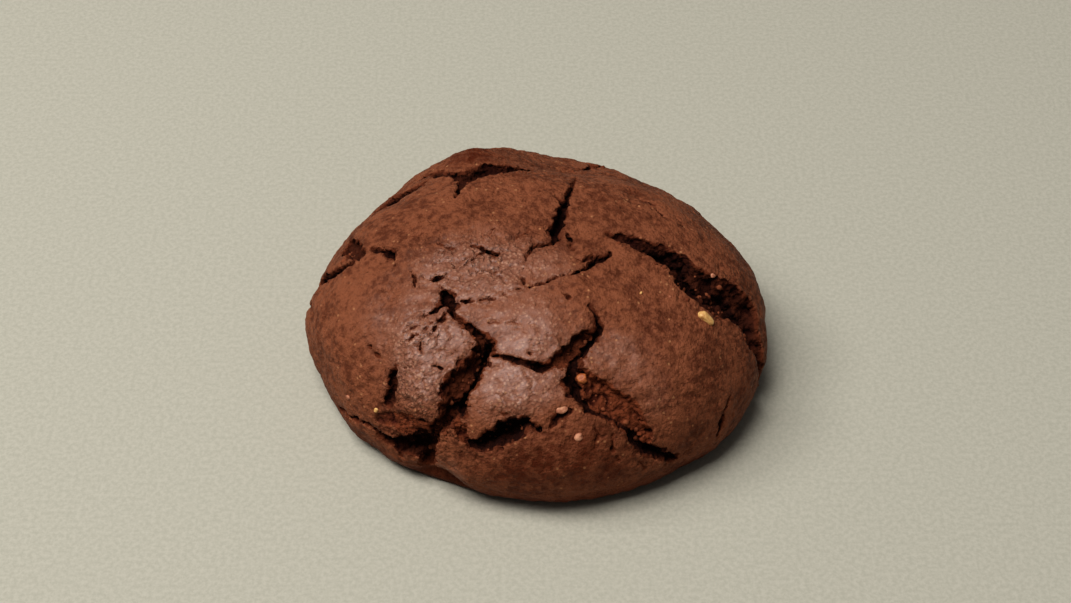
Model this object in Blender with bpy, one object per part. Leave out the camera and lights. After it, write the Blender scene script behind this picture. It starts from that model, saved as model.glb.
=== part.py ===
"""Double chocolate cookie: one baked dome, flat underneath, whose crust has split into lifted plates.

The dome is a smooth body of named sizes. A place on its crust is given by two numbers in millimetres,
as if the crust were peeled off and laid flat: +u to the right, +v to the back, and the walk from the
crown (0, 0) reaches the waist at WAIST_WALK and the ground at GROUND_WALK. Cracks are routes over that
flat crust, cut inward along the body's normals, and swells lift or sink one plate against the next.
"""

import math

import bmesh
import bpy
import numpy as np
from mathutils import Vector, noise

MM = 0.001

# The smooth body. RIM is how far the waist stands from the middle, every 30 degrees from +X.
RIM = (36.0, 33.5, 32.0, 33.0, 34.0, 34.0, 35.5, 35.5, 34.0, 34.0, 35.5, 37.0)
HEIGHT = 26.0
WAIST = 8.0
SHOULDER = 2.5
FOOT = 0.9
WAIST_WALK = 42.0
GROUND_WALK = 52.0

# The share of the ball's polar angle that becomes the crust; the rest is the flat base.
CRUST_ANGLE = math.radians(140)
BALL_LEVEL = 7
MOST_TRIANGLES = 9600

# Low, slow lumps over the whole crust, and how far up from the ground relief fades in.
LUMP_SIZE = 9.0
LUMP_HEIGHT = 0.35
GROUND_FADE = 2.5

# Crack walls: how ragged their lips run, how wide a wall is, and how the plates roll down to a lip.
RAGGED_SIZE = 2.2
RAGGED_SHARE = 0.3
WALL_SHARE = 0.35
THINNEST_WALL = 0.45
ROLL_SHARE = 0.16
ROLL_REACH = 1.5
CRUMB_SIZE = 2.4
CRUMB_SHARE = 0.12

# How far apart the points are that give the body's slope, and a chip's outline and its soft edge.
SLOPE_STEP = 0.2
CHIP_OUTLINE = 1.25
CHIP_EDGE = 0.5

# The crust's look: dark cocoa, linear red, green and blue, and dry.
COCOA = (0.125, 0.045, 0.025, 1.0)
DRYNESS = 0.72

# Each crack is a route of (u, v, width, depth) in millimetres, read along its middle.
CRACKS = {
    "right_gap": [
        (8.0, -0.6, 0.8, 0.7), (9.2, -1.1, 1.4, 0.9), (11.0, -1.5, 2.2, 1.3), (12.8, -2.3, 2.8, 1.7),
        (14.9, -2.9, 3.4, 2.1), (17.0, -3.8, 4.6, 2.5), (18.4, -5.3, 5.8, 2.8), (20.6, -6.6, 6.8, 2.8),
        (23.5, -7.4, 6.8, 2.8), (26.2, -7.5, 7.0, 2.8), (28.9, -8.0, 7.2, 2.8), (30.9, -9.8, 5.8, 2.6),
        (33.4, -11.8, 4.4, 2.4), (36.4, -13.2, 3.2, 2.0), (40.0, -14.6, 2.0, 1.4),
        (43.5, -16.0, 1.0, 0.8),
    ],
    "gap_upper_pit": [
        (13.2, -1.9, 1.2, 2.6), (15.0, -2.5, 2.0, 4.2), (17.0, -3.0, 2.6, 4.6), (19.0, -3.8, 1.9, 3.8),
    ],
    "gap_middle_pit": [(17.4, -5.4, 1.6, 3.6), (19.3, -6.3, 2.9, 4.8), (21.0, -7.2, 1.8, 3.8)],
    "gap_lower_pit": [
        (22.4, -7.4, 1.8, 3.8), (24.6, -6.4, 2.4, 4.4), (26.8, -6.6, 3.3, 5.0), (29.2, -8.2, 3.2, 4.8),
        (31.4, -10.4, 2.4, 4.0),
    ],
    "centre_line": [
        (8.6, -3.6, 0.8, 0.9), (7.0, -4.8, 1.4, 1.7), (5.6, -6.4, 0.9, 1.3), (4.4, -7.3, 0.5, 0.8),
        (2.6, -8.3, 0.5, 0.8), (1.0, -9.0, 0.7, 1.1), (-0.4, -9.7, 0.6, 1.0), (-1.6, -10.1, 0.5, 0.8),
        (-3.2, -10.5, 0.5, 0.8), (-4.5, -11.5, 0.4, 0.7), (-7.1, -11.9, 0.4, 0.7),
        (-9.2, -11.6, 0.5, 1.0),
    ],
    "top_split": [
        (5.7, 13.3, 0.5, 0.6), (5.1, 8.9, 0.8, 1.2), (4.2, 5.6, 1.1, 1.9), (3.3, 2.8, 1.6, 2.6),
        (2.3, -0.1, 1.9, 3.0), (2.0, -2.2, 1.0, 1.8),
    ],
    "gorge_pit": [(-10.6, -10.2, 1.1, 2.2), (-10.4, -11.5, 1.9, 3.8), (-10.1, -12.7, 1.2, 2.6)],
    "gorge": [
        (-10.2, -12.8, 0.9, 1.6), (-9.3, -14.2, 0.7, 1.2), (-8.1, -15.6, 0.9, 1.4),
        (-7.0, -16.8, 1.6, 2.6), (-6.4, -18.0, 2.6, 3.4), (-6.4, -19.4, 3.0, 3.6),
        (-7.2, -20.8, 3.3, 3.2), (-8.6, -22.4, 3.7, 2.8), (-10.2, -24.6, 4.0, 2.7),
        (-11.3, -26.6, 3.6, 2.8), (-12.4, -28.6, 2.6, 3.0), (-13.7, -30.6, 1.9, 3.2),
        (-15.4, -32.2, 2.2, 3.2), (-17.4, -33.8, 3.0, 3.6), (-19.4, -36.4, 3.2, 3.4),
        (-21.5, -39.0, 2.6, 2.4),
    ],
    "gorge_floor": [
        (-6.3, -17.8, 2.0, 4.6), (-6.3, -19.8, 2.4, 4.9), (-6.9, -21.6, 1.6, 4.4),
        (-8.3, -24.0, 1.2, 4.2), (-9.8, -26.4, 1.8, 4.8), (-11.3, -28.2, 2.0, 4.8),
    ],
    "plate_gap": [
        (-5.0, -20.2, 0.9, 1.3), (-3.4, -20.6, 0.8, 1.2), (-1.9, -21.0, 0.8, 1.2),
        (-0.7, -21.4, 0.9, 1.3), (0.6, -21.8, 1.2, 1.4), (1.8, -21.6, 1.6, 1.7),
    ],
    "wedge": [
        (1.7, -21.3, 1.4, 1.4), (3.2, -20.5, 2.4, 1.8), (4.5, -19.4, 2.8, 2.0), (5.8, -17.8, 2.6, 1.9),
        (6.8, -15.9, 1.5, 1.5),
    ],
    "centre_right": [
        (6.3, -12.2, 0.7, 0.6), (7.2, -13.8, 0.9, 1.4), (7.6, -15.0, 1.2, 2.4), (7.0, -16.9, 1.4, 3.0),
        (6.1, -18.4, 1.4, 2.8), (5.3, -20.0, 1.6, 2.6), (4.6, -21.6, 1.4, 2.4), (4.7, -23.2, 1.7, 2.8),
        (5.4, -24.6, 1.8, 3.0), (6.4, -26.6, 1.2, 2.4), (8.1, -28.1, 1.0, 2.0), (11.1, -29.4, 0.9, 1.8),
        (13.1, -30.3, 1.0, 1.9), (15.3, -32.6, 1.7, 2.8), (18.0, -34.0, 1.8, 2.8),
        (21.0, -35.0, 1.6, 2.2), (24.6, -35.0, 1.2, 1.4),
    ],
    "ledge": [
        (6.0, -22.8, 2.6, 1.6), (8.1, -25.2, 4.6, 2.0), (10.2, -26.5, 5.0, 2.0), (12.5, -28.0, 4.4, 1.9),
        (14.8, -29.8, 3.4, 1.8), (17.0, -31.8, 2.0, 1.4),
    ],
    "front_hole": [
        (-10.2, -35.2, 0.8, 1.2), (-8.6, -34.6, 2.0, 2.8), (-6.9, -33.8, 2.8, 4.0),
        (-4.9, -32.7, 3.2, 4.4), (-3.2, -31.4, 3.0, 4.2), (-1.6, -30.8, 2.0, 3.2), (-0.4, -31.0, 1.0, 1.8),
        (0.8, -31.6, 0.6, 0.9),
    ],
    "hole_side": [(-11.8, -29.8, 1.4, 0.8), (-11.2, -31.6, 2.0, 0.9), (-10.2, -33.4, 1.8, 0.9)],
    "boulder_back": [
        (-18.6, -19.8, 0.6, 0.8), (-19.4, -21.2, 1.5, 1.6), (-20.0, -22.4, 2.0, 2.1),
        (-20.4, -23.6, 1.9, 1.8), (-21.2, -24.8, 1.7, 1.3), (-22.0, -26.2, 1.3, 0.8),
    ],
    "left_foot": [
        (-39.9, -22.4, 0.8, 0.8), (-36.5, -24.8, 0.9, 1.0), (-33.0, -27.0, 0.9, 1.1),
        (-30.3, -28.6, 1.1, 1.4), (-28.5, -30.6, 1.4, 1.8), (-27.2, -32.8, 2.0, 2.4),
        (-25.0, -34.6, 3.2, 3.2), (-22.4, -35.4, 4.0, 3.8), (-19.8, -35.2, 4.2, 4.4),
        (-18.2, -33.6, 3.2, 4.2),
    ],
    "left_crumb": [
        (-25.6, -28.2, 1.6, 0.3), (-22.6, -29.4, 3.0, 0.4), (-19.4, -30.4, 3.4, 0.5),
        (-16.8, -31.2, 2.6, 0.6),
    ],
    "rim_left": [
        (-23.9, -1.6, 0.9, 1.0), (-26.4, -1.3, 1.4, 1.3), (-29.6, -0.8, 2.0, 1.5), (-33.0, 0.6, 3.0, 1.6),
        (-36.5, 2.2, 3.4, 1.6), (-39.5, 3.6, 2.4, 1.2),
    ],
    "rim_left_low": [(-40.5, -0.4, 1.0, 1.0), (-36.5, -3.2, 0.9, 0.8)],
    "rim_cluster": [
        (-29.0, 7.2, 1.6, 1.2), (-27.4, 4.6, 3.0, 1.6), (-25.6, 2.4, 3.6, 1.8), (-23.8, 0.8, 3.2, 1.7),
        (-22.4, -0.8, 2.0, 1.4),
    ],
    "shoulder_crumb": [
        (-29.0, 10.8, 1.8, 1.4), (-25.6, 13.2, 3.2, 2.0), (-22.7, 13.6, 4.2, 2.4),
        (-19.6, 12.9, 4.6, 2.4), (-17.1, 13.2, 2.8, 2.0), (-15.6, 13.8, 1.4, 1.2),
    ],
    "rim_back": [
        (-17.2, 17.6, 1.4, 1.2), (-14.6, 16.4, 2.2, 1.6), (-12.4, 13.8, 1.6, 1.4),
        (-10.4, 12.3, 2.2, 1.7), (-8.8, 11.5, 3.8, 2.2), (-7.4, 12.1, 4.6, 2.0), (-5.8, 12.9, 4.4, 1.9),
        (-4.2, 13.4, 3.4, 1.7), (-2.4, 14.0, 2.2, 1.6), (0.0, 14.8, 1.5, 1.6), (1.8, 15.3, 1.0, 1.2),
    ],
    "crown_seam": [
        (-8.8, 11.0, 1.4, 1.5), (-9.2, 9.2, 1.5, 1.5), (-9.6, 7.8, 1.0, 1.1), (-9.9, 5.8, 0.5, 0.6),
    ],
    "left_wander": [
        (-20.8, -0.3, 0.7, 0.8), (-19.8, -0.9, 1.1, 1.2), (-18.6, -1.7, 1.0, 1.2),
        (-17.4, -2.5, 1.3, 1.5), (-16.6, -3.7, 0.7, 0.9),
    ],
    "boulder_top": [
        (-10.8, -13.6, 0.6, 1.1), (-11.9, -15.4, 0.5, 0.8), (-13.7, -16.9, 0.4, 0.6),
        (-14.7, -18.7, 0.3, 0.5),
    ],
    "boulder_upper": [
        (-11.2, -12.2, 0.7, 1.1), (-12.6, -13.2, 0.6, 0.8), (-14.0, -14.3, 0.4, 0.6),
        (-15.2, -15.4, 0.3, 0.4),
    ],
    "right_chip": [
        (29.0, -22.3, 0.5, 0.6), (29.2, -24.6, 0.6, 0.7), (30.6, -27.2, 0.8, 0.9),
        (31.5, -29.5, 0.5, 0.6),
    ],
    "front_right": [(11.3, -31.4, 0.5, 0.6), (11.7, -33.8, 0.6, 0.7), (13.4, -36.4, 0.6, 0.6)],
    "front_corner": [(17.4, -36.6, 0.5, 0.6), (19.3, -38.0, 0.6, 0.7)],
    "back_rift": [
        (-19.0, 24.4, 0.8, 0.8), (-15.6, 25.2, 1.4, 1.4), (-12.2, 27.2, 2.4, 2.0), (-8.6, 27.8, 3.4, 2.4),
        (-5.0, 29.6, 4.0, 2.6), (-1.6, 30.6, 3.4, 2.4), (1.8, 33.2, 2.2, 2.0), (3.6, 36.2, 1.3, 1.6),
        (6.8, 38.2, 0.8, 0.9),
    ],
    "back_fork": [
        (-9.0, 27.6, 1.2, 1.6), (-10.8, 31.0, 1.5, 1.9), (-9.6, 34.6, 1.0, 1.5), (-12.0, 38.4, 0.9, 1.2),
        (-11.2, 42.0, 0.6, 0.6),
    ],
    "back_right": [
        (5.6, 21.6, 0.6, 0.7), (8.8, 24.2, 1.0, 1.4), (11.2, 27.8, 1.6, 1.9), (14.4, 30.4, 1.2, 1.5),
        (15.4, 34.6, 1.4, 1.6), (18.6, 38.6, 0.8, 0.8),
    ],
    "back_twig": [(11.2, 27.8, 1.0, 1.3), (8.6, 29.8, 0.8, 0.9), (7.2, 32.4, 0.5, 0.5)],
    "back_left": [
        (-22.6, 17.2, 0.7, 0.9), (-24.4, 20.6, 1.2, 1.6), (-23.2, 24.8, 1.5, 1.8), (-25.8, 28.8, 1.0, 1.2),
        (-25.0, 32.4, 0.6, 0.6),
    ],
    "side_right": [
        (22.0, 14.0, 0.9, 0.8), (24.6, 20.0, 1.2, 1.8), (23.0, 26.0, 1.4, 2.0), (26.0, 33.0, 1.0, 1.2),
    ],
    "side_branch": [(24.6, 20.0, 0.9, 1.0), (31.0, 17.0, 1.2, 1.6), (37.0, 18.0, 1.2, 1.4)],
}

# Each swell lifts (or with a minus sign sinks) a round patch: (u, v, reach, lift) in millimetres.
SWELLS = {
    "boulder": (-14.5, -17.0, 5.0, 1.3),
    "boulder_foot": (-15.5, -25.0, 4.5, 1.1),
    "centre_plate": (-1.0, -17.0, 4.5, 0.6),
    "lower_plate": (-2.5, -25.5, 4.0, 0.7),
    "front_shard": (0.0, -37.0, 8.0, 0.9),
    "right_plate": (18.0, -19.0, 9.0, 0.6),
    "left_plate": (-30.0, -12.0, 8.0, 0.5),
    "top_plate": (-12.0, 5.0, 8.0, 0.4),
    "back_peak": (-9.0, 19.5, 4.0, 0.9),
    "back_dip": (4.0, 21.0, 8.5, -3.4),
    "back_corner": (16.0, 19.0, 6.5, -1.9),
    "right_shoulder": (27.0, 12.0, 8.0, -0.9),
    "left_shoulder": (-24.0, 18.0, 10.0, -1.5),
    "left_rim": (-33.0, 6.0, 6.0, -1.1),
    "left_waist": (-38.0, -17.0, 7.0, -1.2),
    "left_foot_notch": (-19.5, -43.0, 3.5, -2.2),
    "shard_corner": (-13.5, -42.0, 4.0, 0.7),
    "right_low_waist": (34.0, -26.0, 6.0, 0.7),
    "front_waist": (8.0, -44.0, 12.0, 0.8),
}

# Nut chips baked into the crust: (u, v, length, width, turn in degrees, how proud).
CHIPS = {
    "right_chip": (20.9, -10.6, 3.2, 2.2, -20.0, 0.55),
    "ledge_chip": (6.1, -21.9, 1.8, 1.6, 0.0, 0.8),
    "front_chip": (6.2, -31.8, 1.6, 1.3, 60.0, 0.45),
}


def smooth_step(value):
    """Eases from 0 to 1 as the value does, and holds outside that span."""
    t = np.clip(value, 0.0, 1.0)
    return t * t * (3.0 - 2.0 * t)


def ring(angle, values):
    """A smooth closed curve through evenly spaced values round the circle."""
    count = len(values)
    waves = np.fft.rfft(values) / count
    total = np.full_like(angle, waves[0].real)
    for order in range(1, len(waves)):
        share = 1.0 if order * 2 == count else 2.0
        turn = waves[order].real * np.cos(order * angle) - waves[order].imag * np.sin(order * angle)
        total += share * turn
    return total


def crust_point(u, v):
    """The place on the smooth body of a point of the peeled crust."""
    walk = np.hypot(u, v)
    angle = np.arctan2(v, u)
    reach = ring(angle, RIM)
    climb = np.clip(walk / WAIST_WALK, 0.0, 1.0) * math.pi / 2
    tuck = np.clip((walk - WAIST_WALK) / (GROUND_WALK - WAIST_WALK), 0.0, 1.0) * math.pi / 2
    above = walk <= WAIST_WALK
    radius = np.where(above, reach * np.sin(climb), reach * (FOOT + (1.0 - FOOT) * np.cos(tuck)))
    dome = np.sqrt(np.maximum(1.0 - np.sin(climb) ** SHOULDER, 0.0))
    height = np.where(above, WAIST + (HEIGHT - WAIST) * dome, WAIST * (1.0 - np.sin(tuck)))
    return np.stack([radius * np.cos(angle), radius * np.sin(angle), height], axis=-1)


def crust_normal(u, v):
    """The outward direction of the smooth body at a point of the peeled crust."""
    across = crust_point(u + SLOPE_STEP, v) - crust_point(u - SLOPE_STEP, v)
    along = crust_point(u, v + SLOPE_STEP) - crust_point(u, v - SLOPE_STEP)
    normal = np.cross(across, along)
    return normal / np.linalg.norm(normal, axis=-1, keepdims=True)


def grain(points, size, octaves=2):
    """Smooth noise of about -1 to 1 at each point, with lumps of the given size."""
    return np.array([noise.fractal(Vector(point / size), 0.8, 2.1, octaves) for point in points])


def along_route(points, route):
    """The distance of each point to a route over the body, and the width and depth there."""
    places = np.array(route)
    stops = crust_point(places[:, 0], places[:, 1])
    nearest = np.full(len(points), np.inf)
    width = np.zeros(len(points))
    depth = np.zeros(len(points))
    for first, second, start, end in zip(stops[:-1], stops[1:], places[:-1], places[1:]):
        leg = second - first
        share = np.clip((points - first) @ leg / (leg @ leg), 0.0, 1.0)
        distance = np.linalg.norm(points - first - share[:, None] * leg, axis=1)
        closer = distance < nearest
        nearest = np.where(closer, distance, nearest)
        width = np.where(closer, start[2] + share * (end[2] - start[2]), width)
        depth = np.where(closer, start[3] + share * (end[3] - start[3]), depth)
    return nearest, width, depth


def crack_depth(points):
    """How deep the crust is cut at each point, with its lips rolled down towards each crack."""
    ragged = grain(points, RAGGED_SIZE)
    crumb = grain(points + 50.0, CRUMB_SIZE)
    cut = np.zeros(len(points))
    roll = np.zeros(len(points))
    for route in CRACKS.values():
        distance, width, depth = along_route(points, route)
        half = width / 2 * (1.0 + RAGGED_SHARE * ragged)
        wall = np.maximum(width * WALL_SHARE, THINNEST_WALL)
        inside = smooth_step((half - distance) / wall + 0.5)
        cut = np.maximum(cut, depth * inside * (1.0 + CRUMB_SHARE * crumb))
        roll = np.maximum(roll, depth * ROLL_SHARE * np.exp(-np.maximum(distance - half, 0.0) / ROLL_REACH))
    return np.maximum(cut, roll)


def swell_height(points):
    """How far the swells lift or sink the crust at each point."""
    lift = np.zeros(len(points))
    for u, v, reach, height in SWELLS.values():
        middle = crust_point(np.array([u]), np.array([v]))
        distance = np.linalg.norm(points - middle, axis=1)
        lift += height * np.exp(-((distance / reach) ** 2))
    return lift


def chip_height(points):
    """How far the nut chips stand out of the crust at each point."""
    lift = np.zeros(len(points))
    for u, v, length, width, turn, proud in CHIPS.values():
        place = np.array([u]), np.array([v])
        middle = crust_point(*place)[0]
        normal = crust_normal(*place)[0]
        side = np.cross(normal, (0.0, 0.0, 1.0))
        side /= np.linalg.norm(side)
        up_slope = np.cross(normal, side)
        turned = math.radians(turn)
        long_way = math.cos(turned) * side + math.sin(turned) * up_slope
        short_way = np.cross(normal, long_way)
        offset = points - middle
        spread = np.hypot(offset @ long_way / (length / 2), offset @ short_way / (width / 2))
        lift = np.maximum(lift, proud * smooth_step((CHIP_OUTLINE - spread) / CHIP_EDGE))
    return lift


def shape_ball(mesh):
    """Moves the vertices of a unit ball onto the cookie's crust and base."""
    ball = np.empty(len(mesh.vertices) * 3)
    mesh.vertices.foreach_get("co", ball)
    ball = ball.reshape(-1, 3)
    ball /= np.linalg.norm(ball, axis=1, keepdims=True)
    polar = np.arccos(np.clip(ball[:, 2], -1.0, 1.0))
    angle = np.arctan2(ball[:, 1], ball[:, 0])
    walk = GROUND_WALK * np.minimum(polar / CRUST_ANGLE, 1.0)
    u, v = walk * np.cos(angle), walk * np.sin(angle)
    body = crust_point(u, v)
    relief = swell_height(body) + chip_height(body) - crack_depth(body)
    relief += LUMP_HEIGHT * grain(body, LUMP_SIZE)
    relief *= smooth_step(body[:, 2] / GROUND_FADE)
    shaped = body + relief[:, None] * crust_normal(u, v)
    shaped[:, 2] = np.maximum(shaped[:, 2], 0.0)
    under = polar > CRUST_ANGLE
    inward = (math.pi - polar[under]) / (math.pi - CRUST_ANGLE)
    shaped[under, :2] = body[under, :2] * inward[:, None]
    shaped[under, 2] = 0.0
    mesh.vertices.foreach_set("co", (shaped * MM).ravel())
    mesh.update()


def thin_out(cookie):
    """Keeps the triangles where the relief is, and leaves the base exactly flat and centred."""
    slim = cookie.modifiers.new("slim", "DECIMATE")
    slim.ratio = MOST_TRIANGLES / len(cookie.data.polygons)
    graph = bpy.context.evaluated_depsgraph_get()
    slimmed = bpy.data.meshes.new_from_object(cookie.evaluated_get(graph))
    cookie.modifiers.clear()
    coarse = cookie.data
    cookie.data = slimmed
    bpy.data.meshes.remove(coarse)
    slimmed.name = "cookie"
    places = np.empty(len(slimmed.vertices) * 3)
    slimmed.vertices.foreach_get("co", places)
    places = places.reshape(-1, 3)
    places[:, :2] -= (places[:, :2].min(axis=0) + places[:, :2].max(axis=0)) / 2
    places[np.abs(places[:, 2]) < 0.02 * MM, 2] = 0.0
    slimmed.vertices.foreach_set("co", places.ravel())
    slimmed.update()


def crust_material():
    """Dark cocoa crust, dry and matt."""
    material = bpy.data.materials.new("cocoa_crust")
    material.use_nodes = True
    shader = material.node_tree.nodes["Principled BSDF"]
    shader.inputs["Base Color"].default_value = COCOA
    shader.inputs["Roughness"].default_value = DRYNESS
    shader.inputs["Metallic"].default_value = 0.0
    material.diffuse_color = COCOA
    return material


def build_cookie(collection):
    """The whole cookie as one solid."""
    ball = bmesh.new()
    bmesh.ops.create_icosphere(ball, subdivisions=BALL_LEVEL, radius=1.0)
    mesh = bpy.data.meshes.new("cookie")
    ball.to_mesh(mesh)
    ball.free()
    shape_ball(mesh)
    cookie = bpy.data.objects.new("cookie", mesh)
    collection.objects.link(cookie)
    thin_out(cookie)
    cookie.data.materials.clear()
    cookie.data.materials.append(crust_material())
    cookie.data.shade_smooth()
    return cookie


def main():
    for thing in list(bpy.data.objects):
        bpy.data.objects.remove(thing, do_unlink=True)
    collection = bpy.data.collections.new("double_chocolate_cookie")
    bpy.context.scene.collection.children.link(collection)
    build_cookie(collection)


main()
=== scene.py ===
"""Looks of the double chocolate cookie: crust, crumb in the cracks, nut chips, light and camera.

A place on the crust is given by two numbers in millimetres, as if the crust were peeled off and laid
flat: +u to the right, +v to the back, with the crown at (0, 0). The smooth dome, the cracks and the
swells are those of the solid model; this file adds what is finer, and the colours.
"""

from __future__ import annotations

import logging
import math
import random
from dataclasses import dataclass, field
from enum import Enum
from typing import Any, Mapping, Sequence

import bmesh
import bpy
import numpy as np
from mathutils import Matrix, Vector, bvhtree, kdtree, noise

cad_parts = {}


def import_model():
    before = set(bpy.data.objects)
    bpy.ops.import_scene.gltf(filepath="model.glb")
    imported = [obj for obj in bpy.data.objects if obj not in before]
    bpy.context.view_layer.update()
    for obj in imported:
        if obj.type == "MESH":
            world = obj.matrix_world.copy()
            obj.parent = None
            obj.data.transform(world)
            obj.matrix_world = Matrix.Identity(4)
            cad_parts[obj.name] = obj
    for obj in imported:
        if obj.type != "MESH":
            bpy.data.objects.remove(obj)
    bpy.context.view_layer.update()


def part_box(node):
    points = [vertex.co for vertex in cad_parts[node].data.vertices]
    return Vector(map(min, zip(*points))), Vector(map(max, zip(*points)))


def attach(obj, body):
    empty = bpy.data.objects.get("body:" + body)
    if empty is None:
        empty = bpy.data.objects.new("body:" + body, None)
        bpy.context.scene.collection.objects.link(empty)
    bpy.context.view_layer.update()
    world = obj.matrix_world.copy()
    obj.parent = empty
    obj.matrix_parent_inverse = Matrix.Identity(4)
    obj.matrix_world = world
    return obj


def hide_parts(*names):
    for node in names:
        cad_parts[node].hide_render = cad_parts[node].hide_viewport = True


log = logging.getLogger("cookie")

Array = np.ndarray
Stop = tuple[float, float, float, float]
Colour = tuple[float, float, float, float]

MM = 0.001

# The noise starts from the clock unless it is given a seed.
NOISE_SEED = 4

# How fast the finer layers of a grain fade, and how much finer each is than the one before.
LAYER_FADE = 0.8
LAYER_STEP = 2.1

# A pebble's radius as a share of the pebbles' spacing, and the height that counts as level.
PEBBLE_RADIUS = 0.72
PEBBLE_LEVEL = 0.6

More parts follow.
